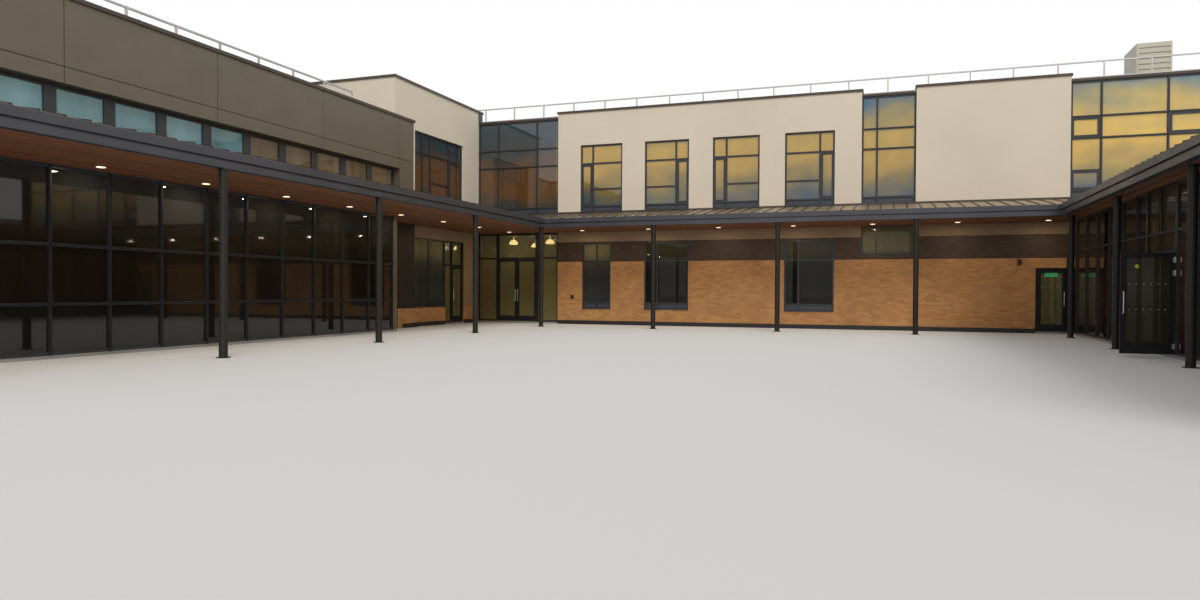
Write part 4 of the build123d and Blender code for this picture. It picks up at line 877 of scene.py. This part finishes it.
# ---------------------------------------------------------------- floor, light and camera
floor_finish = Finish("studio_floor", (0.72, 0.71, 0.69), 0.9)
floor_finish.shade(floor_finish.noise(0.05, 2.0), (0.71, 0.70, 0.68), (0.73, 0.72, 0.70))
floor_mesh = bpy.data.meshes.new("studio_floor")
FLOOR_REACH, FLOOR_LEVEL = 160, -0.002
floor_corners = [(x * FLOOR_REACH, y * FLOOR_REACH, FLOOR_LEVEL)
                 for x, y in ((-1, -1), (1, -1), (1, 1), (-1, 1))]
floor_mesh.from_pydata(floor_corners, [], [(0, 1, 2, 3)])
floor_mesh.materials.append(floor_finish.material)
floor = bpy.data.objects.new("studio_floor", floor_mesh)
bpy.context.scene.collection.objects.link(floor)

world = bpy.data.worlds.new("studio")
bpy.context.scene.world = world
world.use_nodes = True
nodes, links = world.node_tree.nodes, world.node_tree.links
lighting = nodes["Background"]
lighting.inputs["Color"].default_value = (0.97, 0.98, 1.0, 1)
lighting.inputs["Strength"].default_value = 0.62
backdrop = nodes.new("ShaderNodeBackground")
backdrop.inputs["Color"].default_value = (1.0, 1.0, 1.0, 1)
backdrop.inputs["Strength"].default_value = 1.0
ray = nodes.new("ShaderNodeLightPath")
seen = nodes.new("ShaderNodeMath")
seen.operation = "MAXIMUM"
links.new(ray.outputs["Is Camera Ray"], seen.inputs[0])
gloss = nodes.new("ShaderNodeMath")
gloss.operation = "MAXIMUM"
links.new(ray.outputs["Is Glossy Ray"], gloss.inputs[0])
links.new(ray.outputs["Is Transmission Ray"], gloss.inputs[1])
links.new(gloss.outputs[0], seen.inputs[1])
mixed = nodes.new("ShaderNodeMixShader")
links.new(seen.outputs[0], mixed.inputs[0])
links.new(lighting.outputs[0], mixed.inputs[1])
links.new(backdrop.outputs[0], mixed.inputs[2])
links.new(mixed.outputs[0], nodes["World Output"].inputs["Surface"])

sun = bpy.data.lights.new("soft_key", "SUN")
sun.energy = 1.5
sun.angle = math.radians(25)
sun.color = (1.0, 0.97, 0.92)
key = bpy.data.objects.new("soft_key", sun)
key.rotation_euler = (math.radians(52), 0.0, math.radians(34))
bpy.context.scene.collection.objects.link(key)


def lamp(name, place, energy, colour, kind="AREA", size=0.14):
    """Small lamp of the building itself, under a downlight or a pendant."""
    light = bpy.data.lights.new(name, kind)
    light.energy = energy
    light.color = colour
    if kind == "AREA":
        light.shape = "DISK"
        light.size = size
    else:
        light.shadow_soft_size = size
    source = bpy.data.objects.new(name, light)
    source.location = place
    bpy.context.scene.collection.objects.link(source)


for count, (x, y, _) in enumerate(lamp_spots):
    lamp("downlight_%d" % count, (x, y, SOFFIT - 0.03), 11.0, (1.0, 0.84, 0.62))
for count, (x, y, _) in enumerate(pendant_spots):
    lamp("pendant_%d" % count, (x, y, pendant_low[2] - 0.12), 30.0, (1.0, 0.78, 0.42), "POINT", 0.1)

# The camera's own axes: right, up and forward, from its yaw, pitch and roll in radians
FOCAL_LENGTH, PICTURE_WIDTH, SENSOR = 801.5, 1200, 36.0
EYE = (5.1, COURT_FACE - 29.12, 1.3)
yaw, pitch, roll = 0.34434, -0.0114, 0.00516
forward = np.array([-math.sin(yaw) * math.cos(pitch), math.cos(yaw) * math.cos(pitch),
                    math.sin(pitch)])
level_right = np.array([math.cos(yaw), math.sin(yaw), 0.0])
level_up = np.cross(level_right, forward)
right = math.cos(roll) * level_right + math.sin(roll) * level_up
up = -math.sin(roll) * level_right + math.cos(roll) * level_up
lens = bpy.data.cameras.new("camera")
lens.sensor_width = SENSOR
lens.lens = FOCAL_LENGTH / PICTURE_WIDTH * SENSOR
lens.clip_end = 500.0
camera = bpy.data.objects.new("camera", lens)
camera_turn = Matrix((right, up, -forward)).transposed()
camera.matrix_world = Matrix.Translation(EYE) @ camera_turn.to_4x4()
bpy.context.scene.collection.objects.link(camera)
bpy.context.scene.camera = camera
bpy.context.scene.view_settings.view_transform = "Standard"
